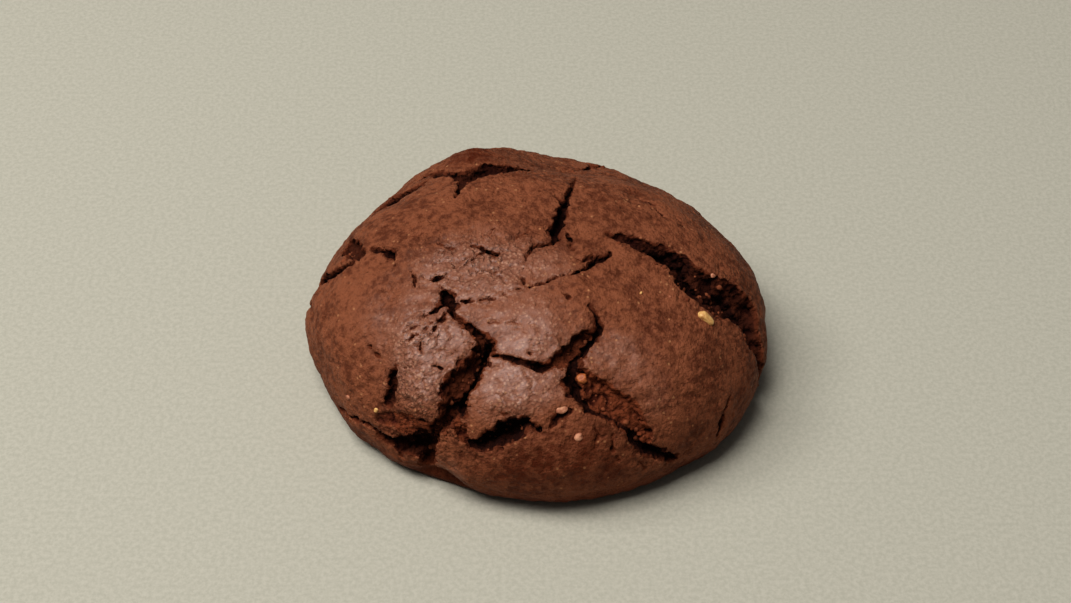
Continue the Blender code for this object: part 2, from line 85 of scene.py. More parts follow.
# Each crack is a route of (u, v, width, depth) in millimetres, read along its middle.
CRACKS: dict[str, Sequence[Stop]] = {
    "right_gap": [
        (8.0, -0.6, 0.8, 0.7), (9.2, -1.1, 1.4, 0.9), (11.0, -1.5, 2.2, 1.3), (12.8, -2.3, 2.8, 1.7),
        (14.9, -2.9, 3.4, 2.1), (17.0, -3.8, 4.6, 2.5), (18.4, -5.3, 5.8, 2.8), (20.6, -6.6, 6.8, 2.8),
        (23.5, -7.4, 6.8, 2.8), (26.2, -7.5, 7.0, 2.8), (28.9, -8.0, 7.2, 2.8), (30.9, -9.8, 5.8, 2.6),
        (33.4, -11.8, 4.4, 2.4), (36.4, -13.2, 3.2, 2.0), (40.0, -14.6, 2.0, 1.4),
        (43.5, -16.0, 1.0, 0.8),
    ],
    "gap_upper_pit": [
        (13.2, -1.9, 1.2, 2.6), (15.0, -2.5, 2.0, 4.2), (17.0, -3.0, 2.6, 4.6), (19.0, -3.8, 1.9, 3.8),
    ],
    "gap_middle_pit": [(17.4, -5.4, 1.6, 3.6), (19.3, -6.3, 2.9, 4.8), (21.0, -7.2, 1.8, 3.8)],
    "gap_lower_pit": [
        (22.4, -7.4, 1.8, 3.8), (24.6, -6.4, 2.4, 4.4), (26.8, -6.6, 3.3, 5.0), (29.2, -8.2, 3.2, 4.8),
        (31.4, -10.4, 2.4, 4.0),
    ],
    "centre_line": [
        (8.6, -3.6, 0.8, 0.9), (7.0, -4.8, 1.4, 1.7), (5.6, -6.4, 0.9, 1.3), (4.4, -7.3, 0.5, 0.8),
        (2.6, -8.3, 0.5, 0.8), (1.0, -9.0, 0.7, 1.1), (-0.4, -9.7, 0.6, 1.0), (-1.6, -10.1, 0.5, 0.8),
        (-3.2, -10.5, 0.5, 0.8), (-4.5, -11.5, 0.4, 0.7), (-7.1, -11.9, 0.4, 0.7),
        (-9.2, -11.6, 0.5, 1.0),
    ],
    "top_split": [
        (5.7, 13.3, 0.5, 0.6), (5.1, 8.9, 0.8, 1.2), (4.2, 5.6, 1.1, 1.9), (3.3, 2.8, 1.6, 2.6),
        (2.3, -0.1, 1.9, 3.0), (2.0, -2.2, 1.0, 1.8),
    ],
    "gorge_pit": [(-10.6, -10.2, 1.1, 2.2), (-10.4, -11.5, 1.9, 3.8), (-10.1, -12.7, 1.2, 2.6)],
    "gorge": [
        (-10.2, -12.8, 0.9, 1.6), (-9.3, -14.2, 0.7, 1.2), (-8.1, -15.6, 0.9, 1.4),
        (-7.0, -16.8, 1.6, 2.6), (-6.4, -18.0, 2.6, 3.4), (-6.4, -19.4, 3.0, 3.6),
        (-7.2, -20.8, 3.3, 3.2), (-8.6, -22.4, 3.7, 2.8), (-10.2, -24.6, 4.0, 2.7),
        (-11.3, -26.6, 3.6, 2.8), (-12.4, -28.6, 2.6, 3.0), (-13.7, -30.6, 1.9, 3.2),
        (-15.4, -32.2, 2.2, 3.2), (-17.4, -33.8, 3.0, 3.6), (-19.4, -36.4, 3.2, 3.4),
        (-21.5, -39.0, 2.6, 2.4),
    ],
    "gorge_floor": [
        (-6.3, -17.8, 2.0, 4.6), (-6.3, -19.8, 2.4, 4.9), (-6.9, -21.6, 1.6, 4.4),
        (-8.3, -24.0, 1.2, 4.2), (-9.8, -26.4, 1.8, 4.8), (-11.3, -28.2, 2.0, 4.8),
    ],
    "plate_gap": [
        (-5.0, -20.2, 0.9, 1.3), (-3.4, -20.6, 0.8, 1.2), (-1.9, -21.0, 0.8, 1.2),
        (-0.7, -21.4, 0.9, 1.3), (0.6, -21.8, 1.2, 1.4), (1.8, -21.6, 1.6, 1.7),
    ],
    "wedge": [
        (1.7, -21.3, 1.4, 1.4), (3.2, -20.5, 2.4, 1.8), (4.5, -19.4, 2.8, 2.0), (5.8, -17.8, 2.6, 1.9),
        (6.8, -15.9, 1.5, 1.5),
    ],
    "centre_right": [
        (6.3, -12.2, 0.7, 0.6), (7.2, -13.8, 0.9, 1.4), (7.6, -15.0, 1.2, 2.4), (7.0, -16.9, 1.4, 3.0),
        (6.1, -18.4, 1.4, 2.8), (5.3, -20.0, 1.6, 2.6), (4.6, -21.6, 1.4, 2.4), (4.7, -23.2, 1.7, 2.8),
        (5.4, -24.6, 1.8, 3.0), (6.4, -26.6, 1.2, 2.4), (8.1, -28.1, 1.0, 2.0), (11.1, -29.4, 0.9, 1.8),
        (13.1, -30.3, 1.0, 1.9), (15.3, -32.6, 1.7, 2.8), (18.0, -34.0, 1.8, 2.8),
        (21.0, -35.0, 1.6, 2.2), (24.6, -35.0, 1.2, 1.4),
    ],
    "ledge": [
        (6.0, -22.8, 2.6, 1.6), (8.1, -25.2, 4.6, 2.0), (10.2, -26.5, 5.0, 2.0), (12.5, -28.0, 4.4, 1.9),
        (14.8, -29.8, 3.4, 1.8), (17.0, -31.8, 2.0, 1.4),
    ],
    "front_hole": [
        (-10.2, -35.2, 0.8, 1.2), (-8.6, -34.6, 2.0, 2.8), (-6.9, -33.8, 2.8, 4.0),
        (-4.9, -32.7, 3.2, 4.4), (-3.2, -31.4, 3.0, 4.2), (-1.6, -30.8, 2.0, 3.2), (-0.4, -31.0, 1.0, 1.8),
        (0.8, -31.6, 0.6, 0.9),
    ],
    "hole_side": [(-11.8, -29.8, 1.4, 0.8), (-11.2, -31.6, 2.0, 0.9), (-10.2, -33.4, 1.8, 0.9)],
    "boulder_back": [
        (-18.6, -19.8, 0.6, 0.8), (-19.4, -21.2, 1.5, 1.6), (-20.0, -22.4, 2.0, 2.1),
        (-20.4, -23.6, 1.9, 1.8), (-21.2, -24.8, 1.7, 1.3), (-22.0, -26.2, 1.3, 0.8),
    ],
    "left_foot": [
        (-39.9, -22.4, 0.8, 0.8), (-36.5, -24.8, 0.9, 1.0), (-33.0, -27.0, 0.9, 1.1),
        (-30.3, -28.6, 1.1, 1.4), (-28.5, -30.6, 1.4, 1.8), (-27.2, -32.8, 2.0, 2.4),
        (-25.0, -34.6, 3.2, 3.2), (-22.4, -35.4, 4.0, 3.8), (-19.8, -35.2, 4.2, 4.4),
        (-18.2, -33.6, 3.2, 4.2),
    ],
    "left_crumb": [
        (-25.6, -28.2, 1.6, 0.3), (-22.6, -29.4, 3.0, 0.4), (-19.4, -30.4, 3.4, 0.5),
        (-16.8, -31.2, 2.6, 0.6),
    ],
    "rim_left": [
        (-23.9, -1.6, 0.9, 1.0), (-26.4, -1.3, 1.4, 1.3), (-29.6, -0.8, 2.0, 1.5), (-33.0, 0.6, 3.0, 1.6),
        (-36.5, 2.2, 3.4, 1.6), (-39.5, 3.6, 2.4, 1.2),
    ],
    "rim_left_low": [(-40.5, -0.4, 1.0, 1.0), (-36.5, -3.2, 0.9, 0.8)],
    "rim_cluster": [
        (-29.0, 7.2, 1.6, 1.2), (-27.4, 4.6, 3.0, 1.6), (-25.6, 2.4, 3.6, 1.8), (-23.8, 0.8, 3.2, 1.7),
        (-22.4, -0.8, 2.0, 1.4),
    ],
    "shoulder_crumb": [
        (-29.0, 10.8, 1.8, 1.4), (-25.6, 13.2, 3.2, 2.0), (-22.7, 13.6, 4.2, 2.4),
        (-19.6, 12.9, 4.6, 2.4), (-17.1, 13.2, 2.8, 2.0), (-15.6, 13.8, 1.4, 1.2),
    ],
    "rim_back": [
        (-17.2, 17.6, 1.4, 1.2), (-14.6, 16.4, 2.2, 1.6), (-12.4, 13.8, 1.6, 1.4),
        (-10.4, 12.3, 2.2, 1.7), (-8.8, 11.5, 3.8, 2.2), (-7.4, 12.1, 4.6, 2.0), (-5.8, 12.9, 4.4, 1.9),
        (-4.2, 13.4, 3.4, 1.7), (-2.4, 14.0, 2.2, 1.6), (0.0, 14.8, 1.5, 1.6), (1.8, 15.3, 1.0, 1.2),
    ],
    "crown_seam": [
        (-8.8, 11.0, 1.4, 1.5), (-9.2, 9.2, 1.5, 1.5), (-9.6, 7.8, 1.0, 1.1), (-9.9, 5.8, 0.5, 0.6),
    ],
    "left_wander": [
        (-20.8, -0.3, 0.7, 0.8), (-19.8, -0.9, 1.1, 1.2), (-18.6, -1.7, 1.0, 1.2),
        (-17.4, -2.5, 1.3, 1.5), (-16.6, -3.7, 0.7, 0.9),
    ],
    "boulder_top": [
        (-10.8, -13.6, 0.6, 1.1), (-11.9, -15.4, 0.5, 0.8), (-13.7, -16.9, 0.4, 0.6),
        (-14.7, -18.7, 0.3, 0.5),
    ],
    "boulder_upper": [
        (-11.2, -12.2, 0.7, 1.1), (-12.6, -13.2, 0.6, 0.8), (-14.0, -14.3, 0.4, 0.6),
        (-15.2, -15.4, 0.3, 0.4),
    ],
    "right_chip": [
        (29.0, -22.3, 0.5, 0.6), (29.2, -24.6, 0.6, 0.7), (30.6, -27.2, 0.8, 0.9),
        (31.5, -29.5, 0.5, 0.6),
    ],
    "front_right": [(11.3, -31.4, 0.5, 0.6), (11.7, -33.8, 0.6, 0.7), (13.4, -36.4, 0.6, 0.6)],
    "front_corner": [(17.4, -36.6, 0.5, 0.6), (19.3, -38.0, 0.6, 0.7)],
    "back_rift": [
        (-19.0, 24.4, 0.8, 0.8), (-15.6, 25.2, 1.4, 1.4), (-12.2, 27.2, 2.4, 2.0), (-8.6, 27.8, 3.4, 2.4),
        (-5.0, 29.6, 4.0, 2.6), (-1.6, 30.6, 3.4, 2.4), (1.8, 33.2, 2.2, 2.0), (3.6, 36.2, 1.3, 1.6),
        (6.8, 38.2, 0.8, 0.9),
    ],
    "back_fork": [
        (-9.0, 27.6, 1.2, 1.6), (-10.8, 31.0, 1.5, 1.9), (-9.6, 34.6, 1.0, 1.5), (-12.0, 38.4, 0.9, 1.2),
        (-11.2, 42.0, 0.6, 0.6),
    ],
    "back_right": [
        (5.6, 21.6, 0.6, 0.7), (8.8, 24.2, 1.0, 1.4), (11.2, 27.8, 1.6, 1.9), (14.4, 30.4, 1.2, 1.5),
        (15.4, 34.6, 1.4, 1.6), (18.6, 38.6, 0.8, 0.8),
    ],
    "back_twig": [(11.2, 27.8, 1.0, 1.3), (8.6, 29.8, 0.8, 0.9), (7.2, 32.4, 0.5, 0.5)],
    "back_left": [
        (-22.6, 17.2, 0.7, 0.9), (-24.4, 20.6, 1.2, 1.6), (-23.2, 24.8, 1.5, 1.8), (-25.8, 28.8, 1.0, 1.2),
        (-25.0, 32.4, 0.6, 0.6),
    ],
    "side_right": [
        (22.0, 14.0, 0.9, 0.8), (24.6, 20.0, 1.2, 1.8), (23.0, 26.0, 1.4, 2.0), (26.0, 33.0, 1.0, 1.2),
    ],
    "side_branch": [(24.6, 20.0, 0.9, 1.0), (31.0, 17.0, 1.2, 1.6), (37.0, 18.0, 1.2, 1.4)],
}

# Fine crackle of the thin middle crust, too small for the solid model: (u, v, width, depth).
WRINKLES: dict[str, Sequence[Stop]] = {
    "middle_long": [
        (-11.2, -2.2, 0.27, 0.42), (-9.4, -2.9, 0.46, 0.77), (-7.8, -3.0, 0.46, 0.77),
        (-6.2, -3.2, 0.52, 0.85), (-5.2, -3.8, 0.79, 1.3), (-4.5, -4.1, 0.79, 1.3),
        (-3.6, -4.2, 0.33, 0.68),
    ],
    "middle_branch": [
        (-5.4, -3.9, 0.52, 0.85), (-6.2, -4.4, 0.52, 0.77), (-7.0, -5.0, 0.46, 0.68),
        (-8.2, -5.7, 0.27, 0.42),
    ],
    "middle_faint": [(-8.6, -5.2, 0.33, 0.42), (-10.2, -5.0, 0.46, 0.51), (-11.6, -5.4, 0.27, 0.42)],
    "middle_step": [
        (-4.9, -5.6, 0.27, 0.42), (-3.9, -6.4, 0.46, 0.51), (-4.4, -7.6, 0.33, 0.51),
        (-3.2, -8.6, 0.27, 0.42),
    ],
    "left_pit": [
        (-14.6, -5.9, 0.33, 0.51), (-14.5, -6.8, 0.66, 0.94), (-14.3, -7.6, 0.59, 0.94),
        (-14.1, -8.8, 0.27, 0.42),
    ],
    "left_bar": [
        (-13.6, -6.3, 0.27, 0.42), (-12.4, -7.5, 0.59, 0.77), (-11.6, -7.8, 0.72, 1.1),
        (-10.9, -7.7, 0.66, 0.94), (-10.2, -7.0, 0.27, 0.42),
    ],
    "bar_to_pit": [(-11.6, -8.0, 0.33, 0.51), (-11.0, -9.2, 0.46, 0.68), (-10.6, -10.0, 0.59, 1.1)],
    "arc": [
        (-1.0, -6.2, 0.27, 0.42), (-0.8, -5.2, 0.46, 0.68), (-0.5, -4.3, 0.66, 0.94),
        (0.0, -3.3, 0.66, 0.94), (0.9, -2.9, 0.59, 0.94), (2.0, -2.6, 0.59, 0.94),
    ],
    "arc_side": [
        (-1.2, -5.9, 0.27, 0.42), (-1.5, -6.8, 0.46, 0.68), (-1.6, -7.6, 0.52, 0.77),
        (-1.4, -8.8, 0.52, 0.77), (-1.3, -9.9, 0.52, 0.85),
    ],
    "short_split": [
        (3.6, -0.8, 0.33, 0.51), (3.9, -1.6, 0.72, 1.2), (4.2, -2.4, 0.79, 1.4),
        (4.5, -3.8, 0.46, 0.77),
    ],
    "split_side": [(4.5, -4.6, 0.33, 0.51), (5.4, -5.0, 0.59, 0.85), (6.6, -4.3, 0.66, 0.94)],
    "upper_dash": [(-2.4, -1.6, 0.27, 0.34), (-1.1, -1.1, 0.46, 0.51), (-0.4, -0.4, 0.27, 0.34)],
    "upper_dot": [(-5.2, -1.1, 0.27, 0.34), (-4.8, -0.6, 0.52, 0.51), (-4.5, -0.2, 0.27, 0.34)],
    "high_dash": [(-14.6, -0.5, 0.27, 0.34), (-13.9, -0.1, 0.46, 0.42), (-13.2, 0.3, 0.27, 0.34)],
    "wander_tail": [(-16.4, -4.4, 0.52, 0.85), (-16.2, -5.6, 0.27, 0.42)],
    "boulder_mid": [(-14.4, -16.2, 0.27, 0.42), (-14.9, -16.7, 0.52, 0.77), (-15.8, -17.4, 0.33, 0.42)],
    "boulder_left": [(-14.0, -14.3, 0.27, 0.42), (-15.4, -15.2, 0.52, 0.77), (-16.2, -15.9, 0.27, 0.42)],
    "boulder_cross": [
        (-12.6, -13.6, 0.33, 0.51), (-12.5, -14.6, 0.46, 0.68), (-13.4, -15.5, 0.5, 0.77),
        (-13.6, -16.6, 0.33, 0.51),
    ],
    "boulder_drop": [(-13.8, -16.9, 0.33, 0.51), (-14.5, -18.4, 0.46, 0.68), (-14.3, -19.4, 0.27, 0.34)],
    "boulder_low": [(-14.0, -20.9, 0.27, 0.34), (-12.6, -21.3, 0.52, 0.68), (-11.4, -21.6, 0.46, 0.68)],
    "boulder_front": [
        (-18.6, -19.4, 0.33, 0.42), (-17.2, -20.6, 0.33, 0.42), (-15.8, -20.7, 0.27, 0.34),
    ],
    "left_pits": [(-22.1, -15.0, 0.27, 0.42), (-21.9, -15.8, 0.66, 0.85), (-21.6, -16.6, 0.33, 0.51)],
    "left_pits_low": [
        (-21.5, -17.2, 0.33, 0.51), (-21.2, -17.9, 0.66, 0.85), (-20.8, -18.6, 0.27, 0.42),
    ],
    "left_foot_pits": [(-18.8, -29.0, 0.5, 0.6), (-16.8, -29.8, 0.9, 1.1), (-15.6, -30.8, 0.5, 0.7)],
    "centre_notch": [(-1.3, -19.4, 0.27, 0.42), (-0.7, -20.0, 0.59, 0.77), (0.1, -19.7, 0.27, 0.42)],
    "centre_ledge": [(-5.6, -14.9, 0.27, 0.34), (-3.6, -15.2, 0.33, 0.34), (-1.6, -15.4, 0.27, 0.34)],
    "plate_scar": [(3.4, -10.8, 0.27, 0.42), (4.0, -11.4, 0.59, 0.68), (4.5, -12.0, 0.27, 0.42)],
    "lower_hook": [
        (0.0, -28.8, 0.2, 0.3), (0.9, -28.3, 0.4, 0.5), (1.9, -28.4, 0.4, 0.5), (2.8, -28.9, 0.2, 0.3),
    ],
    "hole_right": [
        (2.3, -31.0, 0.6, 0.7), (2.9, -30.0, 1.1, 1.3), (3.6, -29.1, 1.2, 1.3),
        (4.6, -28.4, 0.8, 0.9), (5.4, -28.0, 0.3, 0.4),
    ],
    "right_dots": [
        (12.9, 10.9, 0.27, 0.42), (13.1, 8.8, 0.52, 0.77), (14.2, 7.2, 0.59, 0.77),
        (15.4, 6.3, 0.66, 0.85),
    ],
    "right_thread": [
        (15.6, 5.2, 0.33, 0.51), (16.4, 4.0, 0.52, 0.68), (18.9, 3.2, 0.46, 0.68),
        (19.3, 1.9, 0.27, 0.42),
    ],
    "top_side": [(2.9, 6.4, 0.46, 0.68), (3.4, 4.9, 0.72, 0.94)],
    "front_edge": [(14.6, -30.2, 0.7, 0.9), (13.4, -28.2, 0.8, 0.9), (14.2, -26.8, 0.4, 0.5)],
    "front_side": [(8.4, -30.4, 0.27, 0.42), (9.2, -32.4, 0.46, 0.51), (9.0, -34.4, 0.27, 0.34)],
}

# How much painted shade darkens the crumb in a crack, from 0 (lit) to 1 (near-black hollow), where it
# isn't the usual.
PAINTED_CRACK_SHADE: dict[str, float] = {
    "ledge": 0.12,
    "hole_side": 0.1,
    "left_crumb": 0.15,
    "wedge": 0.3,
    "boulder_back": 0.7,
    "lower_hook": 0.6,
    "left_pits": 0.6,
    "left_pits_low": 0.6,
    "boulder_low": 0.6,
    "crown_seam": 0.7,
    "rim_cluster": 0.7,
    "rim_left": 0.9,
    "gorge": 0.5,
    "right_gap": 0.75,
    "rim_back": 0.8,
    "shoulder_crumb": 0.9,
    "left_foot": 0.75,
    "back_rift": 0.45,
    "back_fork": 0.6,
    "back_right": 0.6,
    "back_twig": 0.6,
    "back_left": 0.6,
    "side_right": 0.6,
    "side_branch": 0.6,
    "right_chip": 0.6,
    "front_right": 0.4,
    "front_corner": 0.5,
    "plate_scar": 0.3,
    "centre_ledge": 0.4,
    "middle_faint": 0.5,
    "front_side": 0.4,
}

# Each swell lifts (or with a minus sign sinks) a round patch: (u, v, reach, lift) in millimetres.
SWELLS: dict[str, Stop] = {
    "boulder": (-14.5, -17.0, 5.0, 1.3),
    "boulder_foot": (-15.5, -25.0, 4.5, 1.1),
    "centre_plate": (-1.0, -17.0, 4.5, 0.6),
    "lower_plate": (-2.5, -25.5, 4.0, 0.7),
    "front_shard": (0.0, -37.0, 8.0, 0.9),
    "right_plate": (18.0, -19.0, 9.0, 0.6),
    "left_plate": (-30.0, -12.0, 8.0, 0.5),
    "top_plate": (-12.0, 5.0, 8.0, 0.4),
    "back_peak": (-9.0, 19.5, 4.0, 0.9),
    "back_dip": (4.0, 21.0, 8.5, -3.4),
    "back_corner": (16.0, 19.0, 6.5, -1.9),
    "right_shoulder": (27.0, 12.0, 8.0, -0.9),
    "left_shoulder": (-24.0, 18.0, 10.0, -1.5),
    "left_rim": (-33.0, 6.0, 6.0, -1.1),
    "left_waist": (-38.0, -17.0, 7.0, -1.2),
    "left_foot_notch": (-19.5, -43.0, 3.5, -2.2),
    "shard_corner": (-13.5, -42.0, 4.0, 0.7),
    "right_low_waist": (34.0, -26.0, 6.0, 0.7),
    "front_waist": (8.0, -44.0, 12.0, 0.8),
}

# Where the thin crust has dried to a grey bloom, partly painted sheen, or with a minus sign painted shade:
# (u, v, reach, strength).
BLOOM_SHEEN_AND_SHADE: dict[str, Stop] = {
    "middle": (-5.5, -7.0, 7.0, 1.2),
    "middle_left": (-12.0, -6.0, 4.5, 0.5),
    "centre_plate": (0.0, -18.5, 6.0, 1.0),
    "lower_plate": (-3.0, -25.0, 6.0, 1.0),
    "boulder": (-13.5, -17.0, 6.0, 0.9),
    "boulder_foot": (-15.0, -23.0, 4.5, 0.8),
    "shard_corner": (-15.0, -40.0, 3.5, 0.5),
    "right_inner": (10.5, -19.0, 4.0, 0.6),
    "right_sheen": (16.0, -25.0, 5.0, 0.4),
    "upper_plate": (2.5, -6.0, 3.0, 0.5),
    "left_inner": (-19.0, -11.0, 5.0, 0.3),
    # Painted shade: crust that faces away from the lights, and dark bands along the outline.
    "shard_left": (-8.0, -39.0, 5.0, -0.4),
    "shard_middle": (2.0, -38.0, 7.0, -0.6),
    "shard_right": (12.0, -37.0, 6.0, -0.5),
    "right_low": (25.0, -29.0, 7.0, -0.3),
    "back_peak": (-8.0, 18.5, 6.0, -0.7),
    "back": (0.0, 34.0, 14.0, -0.25),
    "shoulder_edge": (-23.5, 17.0, 4.0, -0.9),
    "rim_edge": (-35.5, 2.0, 4.0, -0.6),
}

# Where the middle crust is crazed and pebbled: (u, v, reach, strength).
CRAZES: dict[str, Stop] = {
    "middle": (-7.0, -5.5, 6.0, 0.7),
    "crown": (-0.5, -2.5, 4.0, 0.35),
    "boulder": (-14.5, -16.5, 5.0, 0.5),
    "left_inner": (-18.5, -9.0, 4.0, 0.4),
    "boulder_foot": (-17.0, -25.0, 4.0, 0.45),
    "left_crumb": (-20.5, -30.5, 4.5, 0.7),
    "hole_side": (-11.5, -32.0, 3.0, 0.4),
    "shard_corner": (-16.0, -41.0, 4.0, 0.3),
    "centre_plate": (-1.0, -16.0, 4.0, 0.12),
    "lower_plate": (-3.0, -27.5, 3.5, 0.2),
    "crown_back": (-3.0, 5.0, 5.0, 0.3),
    "left_top": (-14.0, 0.0, 5.0, 0.4),
}


class Side(Enum):
    """Which noise a grain takes, so that two grains of one size don't repeat each other."""

    LUMP = 0.0
    CRUMB = 50.0
    BLOOM = 110.0
    CRAZE = 170.0
    SHELF = 230.0


def srgb(red: float, green: float, blue: float) -> Colour:
    """Linear colour from the 0 to 255 numbers of a display colour, by the sRGB curve."""
    linear = [
        level / 12.92 if level <= 0.04045 else ((level + 0.055) / 1.055) ** 2.4
        for level in (red / 255, green / 255, blue / 255)
    ]
    return (linear[0], linear[1], linear[2], 1.0)


def smooth_step(value: Array) -> Array:
    """Eases from 0 to 1 as the value does, and holds outside that span."""
    t = np.clip(value, 0.0, 1.0)
    return t * t * (3.0 - 2.0 * t)


def edge_step(past: Array, softness: Array | float) -> Array:
    """Eases from 0 to 1 over the softness of an edge, half way up where past is 0."""
    return smooth_step(past / softness + 0.5)


def grain(points: Array, size: float, octaves: int = 2, side: Side = Side.LUMP) -> Array:
    """Smooth noise of about -1 to 1 at each point.

    Args:
        points: Places in millimetres, one a row.
        size: The size of one lump, in millimetres.
        octaves: How many finer layers are added.
        side: Which noise to read.

    Returns:
        One number for each point.
    """
    moved = (points + side.value) / size
    return np.array([noise.fractal(Vector(place), LAYER_FADE, LAYER_STEP, octaves) for place in moved])


def wander(points: Array, size: float, reach: float, side: Side = Side.LUMP) -> Array:
    """A smooth push for each point, at most about the reach, whose swirls have the given size."""
    moved = (points + side.value) / size
    return reach * np.array([noise.noise_vector(Vector(place)) for place in moved])


def cells(points: Array, size: float, side: Side = Side.CRUMB) -> tuple[Array, Array]:
    """Distances to the nearest and second nearest of scattered seeds, as shares of the seeds' spacing.

    Args:
        points: Places in millimetres, one a row.
        size: The spacing of the seeds, in millimetres.
        side: Which set of seeds to read.

    Returns:
        The nearest distance and the second nearest distance of each point.
    """
    moved = (points + side.value) / size
    found = np.array([noise.voronoi(Vector(place))[0][:2] for place in moved])
    return found[:, 0], found[:, 1]


def pebbles(points: Array, size: float, side: Side = Side.CRUMB) -> Array:
    """Round bumps from 0 to 1, packed side by side, at each point."""
    near, _ = cells(points, size, side)
    return np.sqrt(np.maximum(1.0 - (near / PEBBLE_RADIUS) ** 2, 0.0))


def read_points(mesh: bpy.types.Mesh) -> Array:
    """The mesh's points, one a row."""
    flat = np.empty(len(mesh.vertices) * 3)
    mesh.vertices.foreach_get("co", flat)
    return flat.reshape(-1, 3)


def write_points(mesh: bpy.types.Mesh, points: Array) -> None:
    """Moves the mesh's points to these."""
    mesh.vertices.foreach_set("co", points.ravel())
    mesh.update()


def read_normals(mesh: bpy.types.Mesh) -> Array:
    """The mesh's outward directions at its points, one a row."""
    flat = np.empty(len(mesh.vertices) * 3, dtype=np.float32)
    mesh.vertex_normals.foreach_get("vector", flat)
    return flat.reshape(-1, 3).astype(float)


def keep_number(mesh: bpy.types.Mesh, name: str, values: Array) -> None:
    """Keeps one number for each of the mesh's points, for the material to read."""
    attribute = mesh.attributes.new(name, "FLOAT", "POINT")
    attribute.data.foreach_set("value", values.astype(np.float32))


@dataclass(frozen=True)
class Dome:
    """The smooth body under the relief. Sizes are in millimetres, and the crust's angle is in degrees.

    The rim says how far the waist stands from the middle, every 30 degrees from +X. The probe is the
    step over which the surface's slope is measured.
    """

    rim: tuple[float, ...] = (36.0, 33.5, 32.0, 33.0, 34.0, 34.0, 35.5, 35.5, 34.0, 34.0, 35.5, 37.0)
    height: float = 26.0
    waist: float = 8.0
    shoulder: float = 2.5
    foot: float = 0.9
    waist_walk: float = 42.0
    ground_walk: float = 52.0
    crust_angle: float = 140.0
    probe: float = 0.2

    def ring(self, angle: Array) -> Array:
        """The waist's reach at each angle, on a smooth closed curve through the rim's values."""
        count = len(self.rim)
        waves = np.fft.rfft(self.rim) / count
        total = np.full_like(angle, waves[0].real)
        for order in range(1, len(waves)):
            share = 1.0 if order * 2 == count else 2.0
            wave = waves[order]
            total += share * (wave.real * np.cos(order * angle) - wave.imag * np.sin(order * angle))
        return total

    def point(self, u: Array, v: Array) -> Array:
        """The place on the smooth body of points of the peeled crust.

        Args:
            u: How far right of the crown each point of the flat crust is.
            v: How far behind the crown it is.

        Returns:
            Places in millimetres, one a row.
        """
        walk = np.hypot(u, v)
        angle = np.arctan2(v, u)
        reach = self.ring(angle)
        climb = np.clip(walk / self.waist_walk, 0.0, 1.0) * math.pi / 2
        past_waist = (walk - self.waist_walk) / (self.ground_walk - self.waist_walk)
        tuck = np.clip(past_waist, 0.0, 1.0) * math.pi / 2
        above = walk <= self.waist_walk
        radius = reach * np.where(above, np.sin(climb), self.foot + (1.0 - self.foot) * np.cos(tuck))
        dome = np.sqrt(np.maximum(1.0 - np.sin(climb) ** self.shoulder, 0.0))
        crown = self.waist + (self.height - self.waist) * dome
        height = np.where(above, crown, self.waist * (1.0 - np.sin(tuck)))
        return np.stack([radius * np.cos(angle), radius * np.sin(angle), height], axis=-1)

    def normal(self, u: Array, v: Array) -> Array:
        """The outward direction of the smooth body at points of the peeled crust."""
        across = self.point(u + self.probe, v) - self.point(u - self.probe, v)
        along = self.point(u, v + self.probe) - self.point(u, v - self.probe)
        normal = np.cross(across, along)
        return normal / np.linalg.norm(normal, axis=-1, keepdims=True)

    def place(self, u: float, v: float) -> tuple[Array, Array]:
        """The place and outward direction of one point of the peeled crust."""
        one_u, one_v = np.array([u]), np.array([v])
        return self.point(one_u, one_v)[0], self.normal(one_u, one_v)[0]

    def patches(self, points: Array, patches: Mapping[str, Stop]) -> Array:
        """The sum of round soft patches at each point.

        Args:
            points: Places on the smooth body, in millimetres.
            patches: Each one's u, v, reach and strength.

        Returns:
            One number for each point.
        """
        total = np.zeros(len(points))
        for u, v, reach, strength in patches.values():
            middle, _ = self.place(u, v)
            distance = np.linalg.norm(points - middle, axis=1)
            total += strength * np.exp(-((distance / reach) ** 2))
        return total


